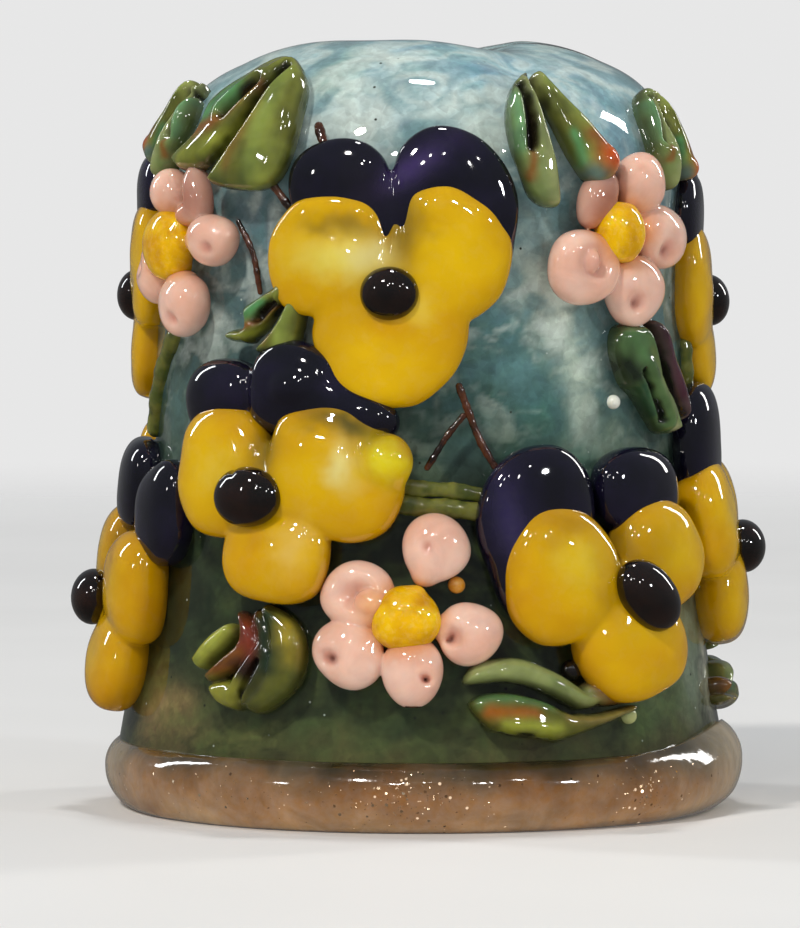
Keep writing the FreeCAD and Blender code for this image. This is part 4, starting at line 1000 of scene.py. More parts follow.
        # shoulders where the petals run into one another at the middle
        w0, t = LEVEL[thick]["yellow"]
        d = smin(d, pebble(p, (0, 0.1), 1.35, 1.25, w0=w0 - 0.1, t=t * 0.92), 0.35)
        seam_u = (pos["yellow_left"][0] + pos["yellow_right"][0]) / 2 + (0.55 if front1 else 0.0)
        d = d + dent(p, (seam_u, (pos["yellow_left"][1] + pos["yellow_right"][1]) / 2 + 1.0), 0.24, 1.3, 0.14)
        if front1:
            d = d + dent(p, (pos["yellow_left"][0] + 0.35, pos["yellow_left"][1] + 0.95), 1.15, 0.50, 0.15, -14)
            d = d - dent(p, (pos["yellow_left"][0] + 0.4, pos["yellow_left"][1] - 0.25), 1.5, 0.5, 0.08, -8)
            d = d - dent(p, (pos["yellow_low"][0] + 1.1, pos["yellow_low"][1] + 1.3), 0.6, 0.5, 0.06)
        elif front2:
            ku, kv = pos["yellow_right"][0] + 2.0, pos["yellow_right"][1] + 0.45
            d = smin(d, pebble(p, (ku - 0.05, kv), 0.92, 1.0, w0=1.10, t=0.88, n=2.0, m=2.0), 0.30)
            d = d + dent(p, (ku - 0.75, kv - 0.05), 0.28, 0.75, 0.16, 8)
            d = d - dent(p, (ku - 1.35, kv - 0.25), 0.42, 0.85, 0.10, 8)
            d = d + dent(p, (pos["yellow_right"][0] + 0.3, pos["yellow_right"][1] + 1.75), 1.4, 0.5, 0.16, -22)
        elif front3:
            d = d + dent(p, (pos["yellow_left"][0] + 0.9, pos["yellow_left"][1] + 0.2), 0.45, 0.9, 0.09, 20)
            d = d - dent(p, (pos["yellow_left"][0] + 0.1, pos["yellow_left"][1] + 1.2), 1.1, 0.6, 0.07, 0)
        else:
            for q in ("yellow_left", "yellow_right", "yellow_low"):
                c = pos[q]
                d = d + dent(p, (c[0] + 0.3 * math.sin(fi + c[0]), c[1] + 0.3 * math.cos(fi * 2 + c[1])), 0.9, 0.6, 0.07 * math.sin(fi * 3.1 + c[0] * 2), fi * 40)
        wav = 0.045 * np.sin(p[..., 0] * 1.3 + fi * 1.7) * np.sin(p[..., 1] * 1.15 - fi) + 0.02 * np.sin(p[..., 0] * 3.1 + 1.0 + fi) * np.sin(p[..., 1] * 2.7 + 0.4)
        return d + wav

    keys = ("yellow_left", "yellow_right", "yellow_low")
    lo = [min(pos[q][0] - table[q][2] * 1.25 for q in keys) - 0.3, min(pos[q][1] - table[q][3] * 1.25 for q in keys) - 0.3, -0.2]
    hi = [max(pos[q][0] + table[q][2] * 1.25 for q in keys) + (0.9 if front2 else 0.3), max(pos[q][1] + table[q][3] * 1.25 for q in keys) + 0.3, LEVEL[thick]["yellow"][0] + LEVEL[thick]["yellow"][1] + 0.45]
    v, f = carve(yellow, lo, hi)
    w0, t = LEVEL[thick]["yellow"]
    top = np.clip((v[:, 2] - w0) / t, 0, 1)
    col = np.tile(YELLOW, (len(v), 1))
    n3 = fbm(v * 0.55 + fi * 3, 3, 51)
    n4 = fbm(v * 1.4 + fi * 3, 3, 53)
    warm = {"pansy_front_right": 0.30, "pansy_left_low": 0.45, "pansy_front_left": 0.18, "pansy_back_low": 0.3, "pansy_back_right": 0.15}.get(name, 0.0)
    col = mixed(col, AMBER, 0.10 + warm + 0.38 * n3 + 0.06 * n4)
    col = mixed(col, AMBER * 0.80, 0.75 * (1 - top) ** 1.5)
    # each petal is a touch paler along a sweep off its centre: a painted highlight
    for q in keys:
        c = pos[q]
        col = mixed(col, srgb(224, 184, 8), 0.6 * soft(v, (c[0], c[1] + 0.1), 1.2, 1.2))
    seam_u = (pos["yellow_left"][0] + pos["yellow_right"][0]) / 2 + (0.45 if front1 else 0.0)
    seam_v = (pos["yellow_left"][1] + pos["yellow_right"][1]) / 2
    # smoky olive along the pressed seam between the upper petals, darkened there as painted crease shade
    col = mixed(col, SEAM_SHADE_OLIVE, (0.75 if front1 or front2 else 0.55) * soft(v, (seam_u, seam_v + 0.9), 0.5, 1.15))
    if front1:
        L, R, B = pos["yellow_left"], pos["yellow_right"], pos["yellow_low"]
        warp = 0.35 * fbm(v * 1.2, 3, 61)
        vv = v.copy()
        vv[:, 0] += warp
        vv[:, 1] += 0.5 * warp
        col = mixed(col, srgb(140, 112, 26), 0.85 * soft(vv, (L[0] + 0.45, L[1] + 0.95), 1.15, 0.42, -14))
        col = mixed(col, srgb(222, 205, 88), 0.9 * soft(vv, (L[0] + 0.35, L[1] - 0.15), 1.45, 0.62, -10))
        col = mixed(col, CREAM, 0.85 * soft(vv, (L[0] + 1.25, L[1] - 0.05), 0.8, 0.55, 0))
        col = mixed(col, srgb(196, 138, 6), 0.7 * soft(vv, (0.1, -1.0), 1.1, 0.9))
        col = mixed(col, srgb(226, 196, 70), 0.7 * soft(vv, (B[0] + 1.05, B[1] + 1.25), 0.5, 0.55))
        col = mixed(col, srgb(150, 118, 20), 0.6 * soft(vv, (R[0] - 1.3, R[1] + 1.0), 0.55, 1.2, -10))
        col = mixed(col, srgb(232, 190, 20), 0.5 * soft(vv, (B[0] + 0.1, B[1] - 1.1), 1.5, 0.8))
    elif front2:
        L, R, B = pos["yellow_left"], pos["yellow_right"], pos["yellow_low"]
        warp = 0.3 * fbm(v * 1.2, 3, 63)
        vv = v.copy()
        vv[:, 0] += warp
        vv[:, 1] += 0.6 * warp
        ku, kv = R[0] + 2.0, R[1] + 0.45
        col = mixed(col, srgb(84, 76, 28), 0.95 * soft(vv, (R[0] + 0.9, R[1] + 1.75), 1.5, 0.62, -22))
        col = mixed(col, srgb(226, 212, 40), 0.9 * soft(vv, (ku + 0.1, kv), 0.75, 0.8))
        col = mixed(col, srgb(226, 212, 132), 0.9 * soft(vv, (ku - 1.3, kv - 0.25), 0.42, 0.8, 10))
        col = mixed(col, srgb(222, 190, 60), 0.6 * soft(vv, (L[0] + 0.5, L[1] + 0.1), 0.8, 0.6))
        col = mixed(col, srgb(196, 136, 14), 0.65 * soft(vv, (B[0] - 0.4, B[1] + 0.2), 1.1, 1.3))
        col = mixed(col, srgb(216, 178, 84), 0.75 * soft(vv, (B[0] + 1.0, B[1] + 0.2), 0.45, 1.0, -10))
    elif front3:
        L, R, B = pos["yellow_left"], pos["yellow_right"], pos["yellow_low"]
        warp = 0.3 * fbm(v * 1.2, 3, 65)
        vv = v.copy()
        vv[:, 0] += warp
        vv[:, 1] += 0.6 * warp
        col = mixed(col, srgb(226, 200, 60), 0.55 * soft(vv, (L[0] + 0.2, L[1] + 0.5), 0.9, 0.9))
        col = mixed(col, srgb(160, 116, 14), 0.6 * soft(vv, (L[0] - 0.2, L[1] + 1.7), 1.2, 0.5))
        col = mixed(col, srgb(176, 132, 16), 0.6 * soft(vv, (L[0] + 1.3, L[1] - 0.5), 0.7, 1.3, 15))
        col = mixed(col, srgb(178, 138, 14), 0.5 * soft(vv, (R[0] - 0.6, R[1] + 0.6), 0.8, 1.0))
        col = mixed(col, srgb(206, 150, 4), 0.6 * soft(vv, (B[0] + 0.2, B[1] - 0.6), 1.4, 0.8))
    else:
        c = pos[keys[fi % 3]]
        warp = 0.35 * fbm(v * 1.2, 3, 71 + fi)
        vv = v + warp[:, None]
        col = mixed(col, srgb(226, 206, 96), 0.7 * soft(vv, (c[0] + 0.4, c[1] + 0.2), 1.0, 0.6, fi * 30))
        c = pos[keys[(fi + 1) % 3]]
        col = mixed(col, srgb(176, 122, 12), 0.6 * soft(vv, (c[0] - 0.4, c[1] + 0.6), 1.2, 0.6, -fi * 20))
    make_object(name + "_yellow_glass", to_world(anchor_az, anchor_s, v), f, MAT["yellow"], [name + "_yellow_petals"], col)

    # --- the eye
    az, z, a, b = table["eye"][:4]
    w0, t = LEVEL[thick]["eye"]

    def eye_field(p):
        if front3:
            d = pebble(p, (0.05, 0.0), 0.98, 1.42, rot=-33 * -1.0, w0=w0, t=t * 1.02, n=2.1, m=2.0)
        else:
            d = pebble(p, (0, 0), a, b, w0=w0, t=t, n=2.05, m=2.0)
        if front2:
            d = d + dent(p, (-0.30, 0.80), 0.12, 0.34, 0.07, 25)
            d = smin(d, pebble(p, (0.1, 0.5), 0.45, 0.38, w0=w0 + 0.30, t=0.32), 0.25)
        return d

    if thick == "thick":
        full = eye_field
        eye_field = lambda p, full=full: smin(full(p), pebble(p, (0, 0), 0.62, 0.62, w0=w0 - 0.6, t=0.6), 0.12)
    v, f = carve(eye_field, [-1.7, -1.7, -0.2], [1.7, 1.7, w0 + t + 0.35], h=min(H, 0.085))
    col = np.tile(EYE, (len(v), 1))
    col = mixed(col, EYE_BROWN, 0.35 + 0.6 * fbm(v * 1.3 + fi, 3, 81))
    eye_parts.append((to_world(anchor_az, anchor_s, v), f, col))
v, f, c = join(eye_parts)
make_object("pansy_eyes_glass", v, f, MAT["eye"], ["pansy_eyes"], c)

# ------------------------------------------------------------------ blossoms
# per petal: azimuth, height, half-width, half-height, then its pit (across, up, radius, depth) or None
BLOSSOMS = {
    "blossom_right_upper": (dict(c=(42.5, 21.0, 0.90, 1.08)), [
        (34.1, 19.75, 1.40, 1.34, (0.05, 0.10, 0.50, 0.42, "swirl")), (47.9, 18.95, 1.28, 1.26, (-0.45, -0.45, 0.26, 0.34, "")), (56.0, 20.9, 1.12, 1.40, (-0.25, -0.5, 0.3, 0.3, "")),
        (49.8, 22.75, 1.05, 0.95, None), (38.4, 22.2, 0.70, 1.15, None)]),
    "blossom_front_low": (dict(c=(-3.0, 7.3, 1.12, 1.15)), [
        (2.5, 9.8, 1.16, 1.22, (-0.30, 0.0, 0.16, 0.14, "")), (8.6, 6.8, 1.12, 1.10, (-0.62, -0.12, 0.24, 0.55, "")), (-1.8, 5.5, 1.25, 1.0, (0.42, -0.30, 0.13, 0.45, "")),
        (-13.4, 6.1, 1.30, 1.15, (-0.45, -0.20, 0.22, 0.5, "")), (-11.8, 8.1, 1.28, 1.24, (0.05, 0.0, 0.5, 0.5, "ring"))]),
    "blossom_left_upper": (dict(c=(-59.0, 20.6, 0.95, 1.05)), [
        (-61.0, 22.45, 0.80, 0.85, None), (-46.5, 20.75, 0.92, 1.0, (0.35, -0.3, 0.18, 0.2, "")), (-56.0, 18.45, 1.15, 1.12, (0.2, -0.5, 0.22, 0.2, "")),
        (-68.5, 19.6, 1.1, 1.1, (-0.3, 0.2, 0.3, 0.3, "")), (-52.5, 22.3, 0.52, 1.15, None)]),
    "blossom_back_right": (dict(c=(137.0, 20.8, 1.0, 1.0)), [
        (127.0, 21.2, 1.15, 1.1, (0.2, 0.0, 0.4, 0.4, "ring")), (131.5, 19.0, 1.15, 1.1, (-0.2, -0.3, 0.2, 0.4, "")), (143.0, 19.1, 1.15, 1.15, None),
        (147.0, 21.3, 1.1, 1.1, (-0.4, 0.1, 0.22, 0.45, "")), (137.0, 22.7, 1.1, 1.0, (0.2, 0.1, 0.18, 0.3, ""))]),
    "blossom_back_left": (dict(c=(-137.0, 20.6, 1.0, 1.0)), [
        (-147.0, 21.0, 1.1, 1.1, (0.3, 0.1, 0.22, 0.4, "")), (-143.5, 18.9, 1.15, 1.1, None), (-132.5, 18.8, 1.15, 1.15, (0.1, 0.0, 0.48, 0.4, "swirl")),
        (-127.5, 20.9, 1.15, 1.1, (0.3, -0.3, 0.2, 0.4, "")), (-137.0, 22.6, 1.1, 1.0, (-0.2, 0.2, 0.2, 0.3, ""))]),
    "blossom_back_low": (dict(c=(155.0, 6.0, 1.0, 1.0)), [
        (147.5, 6.4, 1.1, 1.1, (0.0, 0.0, 0.45, 0.45, "ring")), (150.5, 4.4, 1.1, 1.0, (0.3, -0.2, 0.2, 0.4, "")), (160.0, 4.4, 1.1, 1.0, None),
        (162.0, 6.3, 1.0, 1.1, (-0.3, -0.1, 0.22, 0.45, "")), (155.0, 7.8, 1.1, 1.05, (0.2, 0.0, 0.16, 0.2, ""))]),
}
PINK = srgb(230, 182, 160)
PEACH = srgb(226, 150, 96)
ROSE = srgb(176, 104, 92)
GOLD = srgb(236, 186, 14)
centre_parts = []
for bi, (name, (info, petals)) in enumerate(BLOSSOMS.items()):
    want = info["c"]
    at = nearest(centres_found, want[0], want[1])
    eye = (want[0], want[1])
    anchor_az, anchor_s = at[0], s_of(at[1])
    places = [rel(eye, p[0], p[1]) for p in petals]

    def bloom(p):
        d = None
        for i, (pt, c) in enumerate(zip(petals, places)):
            drawn = (bi == 0 and i == 4) or (bi == 2 and i == 4)
            q = pebble(p, c, pt[2], pt[3], w0=0.25 if drawn else 0.42, t=0.62 if drawn else 0.86, n=2.1, m=2.1,
                       rot=(-28 if bi == 0 else 16) if drawn else bi * 20 + i * 35, lobes=((3, 0.025, i + bi),))
            if pt[4]:
                pu, pv, pr, pd, kind = pt[4]
                if kind in ("ring", "swirl"):
                    q = q + dent(p, (c[0] + pu, c[1] + pv), pr, pr, pd + 0.15)
                    inner = (c[0] + pu + 0.42, c[1] + pv - 0.26) if kind == "ring" else (c[0] + pu - 0.1, c[1] + pv + 0.12)
                    ball = pebble(p, inner, 0.55 if kind == "ring" else 0.34, 0.52 if kind == "ring" else 0.5, w0=0.78, t=0.5, n=2.0, m=2.0)
                    q = smin(q, ball, 0.09)
                else:
                    q = q + dent(p, (c[0] + pu, c[1] + pv), pr, pr * 1.25, pd, 20 * i)
            d = q if d is None else smin(d, q, 0.07)
            # the neck of glass running to the centre
            l = math.hypot(*c)
            n1 = (c[0] * 0.62, c[1] * 0.62)
            d = smin(d, pebble(p, n1, 0.42, 0.42, w0=0.35, t=0.55), 0.22)
        return d + 0.02 * np.sin(p[..., 0] * 2.7 + bi) * np.sin(p[..., 1] * 2.4)

    lo = [min(c[0] - pt[2] for pt, c in zip(petals, places)) - 0.25, min(c[1] - pt[3] for pt, c in zip(petals, places)) - 0.25, -0.2]
    hi = [max(c[0] + pt[2] for pt, c in zip(petals, places)) + 0.25, max(c[1] + pt[3] for pt, c in zip(petals, places)) + 0.25, 1.62]
    v, f = carve(bloom, lo, hi)
    col = np.tile(PINK, (len(v), 1))
    col = mixed(col, srgb(238, 202, 184), 0.30 + 0.6 * fbm(v * 0.9 + bi * 9, 3, 91))
    dist = np.hypot(v[:, 0], v[:, 1])
    col = mixed(col, PEACH, 0.9 * np.exp(-(np.maximum(dist - 1.0, 0) / 0.42) ** 2))
    col = mixed(col, ROSE, 0.45 * np.clip((0.45 - v[:, 2]) / 0.5, 0, 1))
    # darker pink in each pit, near-brown deep in the plain pits: painted shade in the pits
    for pt, c in zip(petals, places):
        if pt[4]:
            pu, pv, pr, pd, kind = pt[4]
            col = mixed(col, srgb(206, 136, 118), (0.75 if kind == "" else 0.45) * soft(v, (c[0] + pu, c[1] + pv), pr * 0.9, pr * 1.1))
            if kind == "":
                col = mixed(col, srgb(110, 56, 50), 0.8 * soft(v, (c[0] + pu, c[1] + pv), pr * 0.45, pr * 0.6) * np.clip((0.9 - v[:, 2]) / 0.3 + 0.3, 0, 1))
            if kind == "ring":
                col = mixed(col, srgb(238, 180, 130), 0.8 * soft(v, (c[0] + pu + 0.42, c[1] + pv - 0.26), 0.5, 0.5) * (v[:, 2] > 0.7))
    if bi in (0, 2):
        col = mixed(col, srgb(150, 92, 74), 0.85 * soft(v, places[4], 0.75, 1.2, -28 if bi == 0 else 16))
    make_object(name + "_petal_glass", to_world(anchor_az, anchor_s, v), f, MAT["blush"], [name + "_petals"], col)

    def heart(p):
        a, b = want[2], want[3]
        grow = 1.22 if name == "blossom_left_upper" else 1.0
        d = pebble(p, (-0.35, -0.05) if grow > 1 else (0, 0), a * grow, b * grow, w0=0.62, t=0.82, n=2.15, m=2.2, lobes=((3, 0.025, bi),))
        for c in places:
            l = math.hypot(*c)
            d = smin(d, pebble(p, (c[0] / l * a * 0.85, c[1] / l * b * 0.85), 0.26, 0.26, w0=0.45, t=0.42), 0.22)
        return d + 0.02 * np.sin(p[..., 0] * 3.2 + bi) * np.sin(p[..., 1] * 3.0 + 1) * np.clip(p[..., 2], 0, 1)

    v, f = carve(heart, [-1.7, -1.7, -0.2], [1.7, 1.7, 1.7])
    col = np.tile(GOLD, (len(v), 1))
    col = mixed(col, srgb(206, 146, 8), 0.3 + 0.7 * fbm(v * 1.6 + bi, 3, 95))
    col = mixed(col, srgb(214, 130, 20), 0.6 * np.clip((0.6 - v[:, 2]) / 0.6, 0, 1))
    centre_parts.append((to_world(anchor_az, anchor_s, v), f, col))
v, f, c = join(centre_parts)
make_object("blossom_centres_glass", v, f, MAT["golden"], ["blossom_centres"], c)

# ------------------------------------------------------------------ leaves
LIME = srgb(142, 148, 54)
MINT = srgb(84, 142, 88)
OLIVE = srgb(90, 92, 36)
RUST = srgb(128, 78, 32)
PLUM = srgb(70, 34, 48)
TEAL = srgb(44, 112, 112)
FOREST = srgb(22, 44, 30)
PALE = srgb(146, 152, 100)
SAGE = srgb(112, 128, 74)
NEAR_BLACK = srgb(14, 12, 10)
ORANGE = srgb(150, 86, 30)

MINT2 = srgb(104, 146, 100)
OLIVE2 = srgb(124, 130, 56)
SPRING = srgb(130, 144, 66)
PALE2 = srgb(136, 146, 90)
LIME2 = srgb(160, 166, 70)
LIME3 = srgb(134, 134, 50)
FERN = srgb(78, 112, 68)
PINE = srgb(44, 82, 56)
BRICK = srgb(196, 78, 34)
TEALG = srgb(84, 112, 108)
CREAMY = srgb(190, 186, 140)
KHAKI = srgb(132, 116, 62)
UMBER = srgb(118, 78, 34)
RED = srgb(132, 56, 38)
OCHRE = srgb(156, 138, 44)

# pressed leaves, drawn flat in mm about their middle: outlines of the lobes, creases, and stripes of
# colour (line, half-width, colour, strength)
SHAPE_A = dict(
    lobes=[[(1.43, 2.76), (0.64, 3.06), (-0.23, 2.59), (-1.25, 1.76), (-2.04, 0.97), (-2.11, -0.01), (-3.16, -0.58), (-3.31, -1.09), (-2.39, -1.37), (-1.17, -1.15), (-0.27, -0.59), (0.61, 0.79), (1.49, 1.75)],
           [(1.15, 2.9), (2.07, 2.15), (2.38, 1.08), (2.32, -0.57), (1.88, -1.63), (1.14, -2.08), (0.03, -2.03), (-0.96, -1.72), (-0.66, -1.16), (0.21, 0.0), (0.69, 1.22), (0.96, 2.08)]],
    creases=[[(1.28, 2.18), (0.64, 1.13), (0.0, -0.22), (-0.86, -1.15)], [(0.24, 1.6), (-0.63, 0.5)]],
    strokes=[([(0.86, 2.54), (-0.28, 1.82)], 0.5, OLIVE2, 0.8),
             ([(-0.56, 1.35), (-1.71, 0.45)], 0.45, MINT, 0.95),
             ([(0.52, 1.41), (-0.75, 0.26), (-1.78, -0.17)], 0.22, RUST, 0.9),
             ([(0.57, 0.87), (-0.26, -0.29), (-2.36, -0.97)], 0.28, LIME, 0.9),
             ([(-2.87, -0.59), (-3.01, -1.1)], 0.3, SAGE, 0.7),
             ([(0.95, 1.03), (0.11, -1.25)], 0.26, RUST, 0.65),
             ([(1.46, 1.56), (1.23, 0.13), (0.98, -1.34)], 0.5, SPRING, 0.9),
             ([(1.99, 1.84), (2.19, -0.27)], 0.3, OLIVE, 0.8),
             ([(0.6, -1.68), (-0.36, -1.81)], 0.4, FOREST, 0.7),
             ([(0.64, -0.61), (0.33, -1.61)], 0.3, OLIVE, 0.8)])
SHAPE_B = dict(
    lobes=[[(-0.46, 2.74), (-1.15, 2.33), (-1.81, 1.12), (-1.82, -0.05), (-1.54, -1.12), (-1.15, -2.03), (-0.57, -2.38), (-0.12, -2.16), (-0.21, -1.11), (-0.4, 0.42), (-0.45, 1.85)],
           [(-0.06, 2.81), (0.23, 2.48), (0.95, 1.18), (1.73, 0.17), (2.23, -0.49), (2.24, -1.06), (1.63, -1.5), (0.95, -1.37), (0.4, -0.53), (-0.14, 0.98), (-0.54, 2.14)]],
    creases=[[(-0.52, 2.24), (-0.36, 0.66), (-0.04, -0.89), (0.04, -2.02)], [(-1.03, 1.84), (-1.2, -0.34)]],
    strokes=[([(-1.52, 1.47), (-1.63, -0.34)], 0.28, MINT2, 0.95),
             ([(-1.1, 1.22), (-1.26, -1.26)], 0.16, RUST, 0.85),
             ([(-0.64, 1.49), (-0.53, -0.33), (-0.42, -1.96)], 0.4, PALE, 0.9),
             ([(0.07, 2.16), (1.41, 0.31)], 0.34, SPRING, 0.95),
             ([(0.0, 1.41), (0.54, -0.09)], 0.24, OLIVE, 0.85),
             ([(0.34, 0.13), (0.68, -0.88)], 0.18, MINT, 0.9),
             ([(0.98, -0.0), (1.56, -0.14)], 0.3, RUST, 0.9),
             ([(1.7, -0.65), (1.74, -0.72)], 0.55, BRICK, 0.98),
             ([(0.98, -1.16), (1.31, -1.3)], 0.3, TEALG, 0.85),
             ([(-0.59, 2.45), (-0.6, 2.24)], 0.4, CREAMY, 0.5)])
SHAPE_D = dict(
    lobes=[[(-1.89, 1.98), (-0.95, 2.12), (-0.26, 1.83), (0.2, 0.4), (1.33, -1.05), (1.64, -1.71), (0.69, -1.87), (-0.09, -1.31), (-1.0, -0.44), (-1.62, -0.01), (-2.09, 1.13)],
           [(-0.25, 2.19), (0.52, 2.05), (1.23, 0.96), (2.08, -0.35), (2.25, -1.22), (1.49, -1.35), (0.74, -0.47), (-0.04, 0.97)]],
    creases=[[(-0.26, 1.91), (0.47, 0.33), (1.67, -1.21)], [(-0.98, 0.41), (0.3, -1.32)]],
    strokes=[([(-1.38, 1.7), (-0.97, 0.98)], 0.45, FERN, 0.9),
             ([(-0.63, 1.12), (0.32, -0.32), (1.16, -1.48)], 0.2, SAGE, 0.95),
             ([(-1.8, 0.7), (-1.41, 0.2)], 0.35, NEAR_BLACK, 0.95),
             ([(-0.99, -0.16), (-0.21, -1.17)], 0.2, PINE, 0.9),
             ([(0.25, 1.9), (1.35, -0.33)], 0.25, PLUM, 0.95),
             ([(1.0, -1.62), (1.31, -1.7)], 0.2, CREAMY, 0.7)])
SHAPE_E = dict(
    lobes=[[(-3.29, 0.52), (-3.0, 1.08), (-2.24, 1.34), (-1.19, 1.32), (-0.05, 0.87), (1.19, 0.12), (1.81, -0.18), (1.39, -0.52), (0.61, -0.41), (-0.54, 0.19), (-1.86, 0.5), (-2.96, 0.38)],
           [(-3.1, -0.24), (-2.56, 0.1), (-1.53, 0.15), (-0.56, -0.09), (0.45, -0.62), (1.29, -0.73), (2.38, -0.57), (3.28, -0.48), (3.07, -0.82), (1.67, -1.17), (0.17, -1.59), (-1.18, -1.61), (-2.19, -1.31), (-2.85, -0.74)],
           [(0.97, 0.2), (1.64, 0.53), (2.57, 0.41), (3.05, -0.04), (2.74, -0.45), (1.79, -0.47), (1.17, -0.23)]],
    creases=[[(-3.16, 0.24), (-1.87, 0.29), (-0.55, -0.06), (0.53, -0.55)], [(-2.12, -1.38), (-0.48, -1.64)]],
    strokes=[([(-2.95, 0.73), (-2.05, 1.06), (-0.64, 0.82), (1.17, -0.23)], 0.32, PALE2, 0.95),
             ([(-2.77, -0.18), (-1.54, -0.06), (-0.42, -0.3)], 0.26, FERN, 0.95),
             ([(-2.44, -0.6), (-1.08, -0.71)], 0.26, ORANGE, 0.9),
             ([(-1.85, -1.04), (-0.18, -1.23)], 0.26, LIME, 0.95),
             ([(0.29, -0.82), (1.52, -0.95), (3.0, -0.6)], 0.22, KHAKI, 0.85),
             ([(1.52, 0.18), (2.7, -0.02)], 0.4, UMBER, 0.9),
             ([(-0.22, 0.6), (1.1, -0.01)], 0.2, SAGE, 0.6)])
SHAPE_F = dict(
    lobes=[[(-2.09, 0.02), (-1.49, 0.69), (-0.63, 1.29), (-0.18, 1.17), (-0.21, 0.75), (-0.93, 0.08), (-1.52, -0.38), (-1.93, -0.33)],
           [(-0.16, 1.74), (0.47, 1.48), (0.95, 0.72), (0.7, 0.08), (-0.23, -0.53), (-1.16, -0.86), (-1.4, -0.51), (-0.58, 0.16), (0.05, 0.76)],
           [(0.92, 1.92), (1.55, 1.93), (2.37, 1.26), (2.65, 0.36), (2.49, -0.63), (1.89, -1.35), (1.02, -1.88), (0.54, -1.55), (1.14, -0.47), (1.26, 0.8)],
           [(-1.23, -1.07), (-0.81, -0.77), (0.21, -0.68), (0.5, -1.2), (0.07, -1.78), (-0.8, -1.62)],
           [(0.76, 1.84), (1.27, 1.58), (1.52, 0.53), (1.32, -0.74), (0.7, -1.61), (0.13, -1.5), (-0.19, -0.88), (0.23, -0.08), (0.79, 0.72), (0.56, 1.41)]],
    creases=[[(0.95, -0.05), (0.36, -1.34)], [(-0.19, 0.61), (-1.32, -0.44)]],
    strokes=[([(-1.59, 0.04), (-0.51, 1.02)], 0.4, LIME2, 0.95),
             ([(0.51, 1.13), (0.66, 0.43)], 0.4, RED, 0.8),
             ([(0.19, 0.2), (-0.75, -0.55)], 0.25, RUST, 0.8),
             ([(2.01, 1.04), (2.3, 0.14)], 0.4, OCHRE, 0.9),
             ([(2.01, -0.92), (1.24, -1.59)], 0.4, OLIVE, 0.8),
             ([(-0.76, -1.12), (0.17, -1.14)], 0.35, LIME3, 0.9),
             ([(1.27, 1.65), (1.36, -0.25)], 0.3, FOREST, 0.85)])


BASES = {"A": (OLIVE, OLIVE2), "B": (SAGE, OLIVE2), "D": (srgb(82, 108, 64), srgb(74, 52, 56)), "E": (PALE2, OLIVE, UMBER), "F": (LIME2, srgb(84, 40, 28), OLIVE, LIME3, srgb(32, 16, 14))}
SHAPE = {"A": SHAPE_A, "B": SHAPE_B, "D": SHAPE_D, "E": SHAPE_E, "F": SHAPE_F}

# per leaf: azimuth and height of its middle, shape, size, mirrored, turn in degrees
LEAVES = {
    "leaf_crown_left": (-41.5, 24.5, "A", 1.0, 1, 0),
    "leaf_crown_far_left": (-70.0, 24.6, "B", 0.72, -1, 0),
    "leaf_crown_right": (29.5, 24.2, "B", 1.0, 1, 0),
    "leaf_crown_far_right": (65.5, 24.2, "B", 0.74, 1, -16),
    "leaf_crown_back_right": (154.0, 24.4, "B", 0.90, 1, 0),
    "leaf_crown_back_left": (-154.5, 24.4, "B", 0.90, -1, 0),
    "leaf_mid_right": (54.5, 15.65, "D", 1.0, 1, 0),
    "leaf_mid_left": (-31.7, 17.7, "A", 0.52, 1, -6),
    "leaf_mid_back_right": (116.0, 16.65, "D", 1.0, 1, 0),
    "leaf_mid_back_left": (-115.8, 16.6, "D", 1.0, -1, 0),
    "leaf_low_right": (24.8, 4.75, "E", 1.0, 1, 0),
    "leaf_low_left": (-36.0, 5.9, "F", 1.0, 1, 0),
    "leaf_low_far_right": (87.5, 4.45, "E", 0.62, -1, 0),
    "leaf_low_back_right": (112.5, 5.15, "E", 0.86, 1, 0),
    "leaf_low_back_left": (-108.5, 5.95, "E", 0.86, -1, 0),
    "leaf_low_back": (-149.5, 5.15, "E", 0.80, 1, 6),
}


def line_distance(p, a, b):
    ax, ay = p[..., 0] - a[0], p[..., 1] - a[1]
    bx, by = b[0] - a[0], b[1] - a[1]
    h = np.clip((ax * bx + ay * by) / (bx * bx + by * by + 1e-12), 0, 1)
    return np.hypot(ax - h * bx, ay - h * by)


def path_distance(p, pts):
    out = None
    for a, b in zip(pts[:-1], pts[1:]):
        d = line_distance(p, a, b)
        out = d if out is None else np.minimum(out, d)
    return out


def rounded(pts, closed=True):
    """A smooth curve through points, as a finer list."""
    q = np.array(pts, float)
    n = len(q)
    out = []
    for i in range(n if closed else n - 1):
        if closed:
            p0, p1, p2, p3 = q[i - 1], q[i], q[(i + 1) % n], q[(i + 2) % n]
        else:
            p0, p1, p2, p3 = q[max(i - 1, 0)], q[i], q[i + 1], q[min(i + 2, n - 1)]
        for t in (0.0, 0.34, 0.67):
            out.append(0.5 * (2 * p1 + (p2 - p0) * t + (2 * p0 - 5 * p1 + 4 * p2 - p3) * t * t + (3 * p1 - p0 - 3 * p2 + p3) * t ** 3))
    if not closed:
        out.append(q[-1])
    return np.array(out)


def outline_distance(p, pts):
    """Distance in the plane to a closed outline, negative inside."""
    x, y = p[..., 0], p[..., 1]
    d = np.full(x.shape, 1e9)
    inside = np.zeros(x.shape, bool)
    for a, b in zip(pts, np.roll(pts, -1, axis=0)):
        ex, ey = b[0] - a[0], b[1] - a[1]
        wx, wy = x - a[0], y - a[1]
        h = np.clip((wx * ex + wy * ey) / (ex * ex + ey * ey + 1e-12), 0, 1)
        d = np.minimum(d, (wx - h * ex) ** 2 + (wy - h * ey) ** 2)
        above = (a[1] <= y) != (b[1] <= y)
        side = (ex * wy - ey * wx) > 0
        inside ^= above & (side == (b[1] > a[1]))
    return np.where(inside, -1.0, 1.0) * np.sqrt(d)


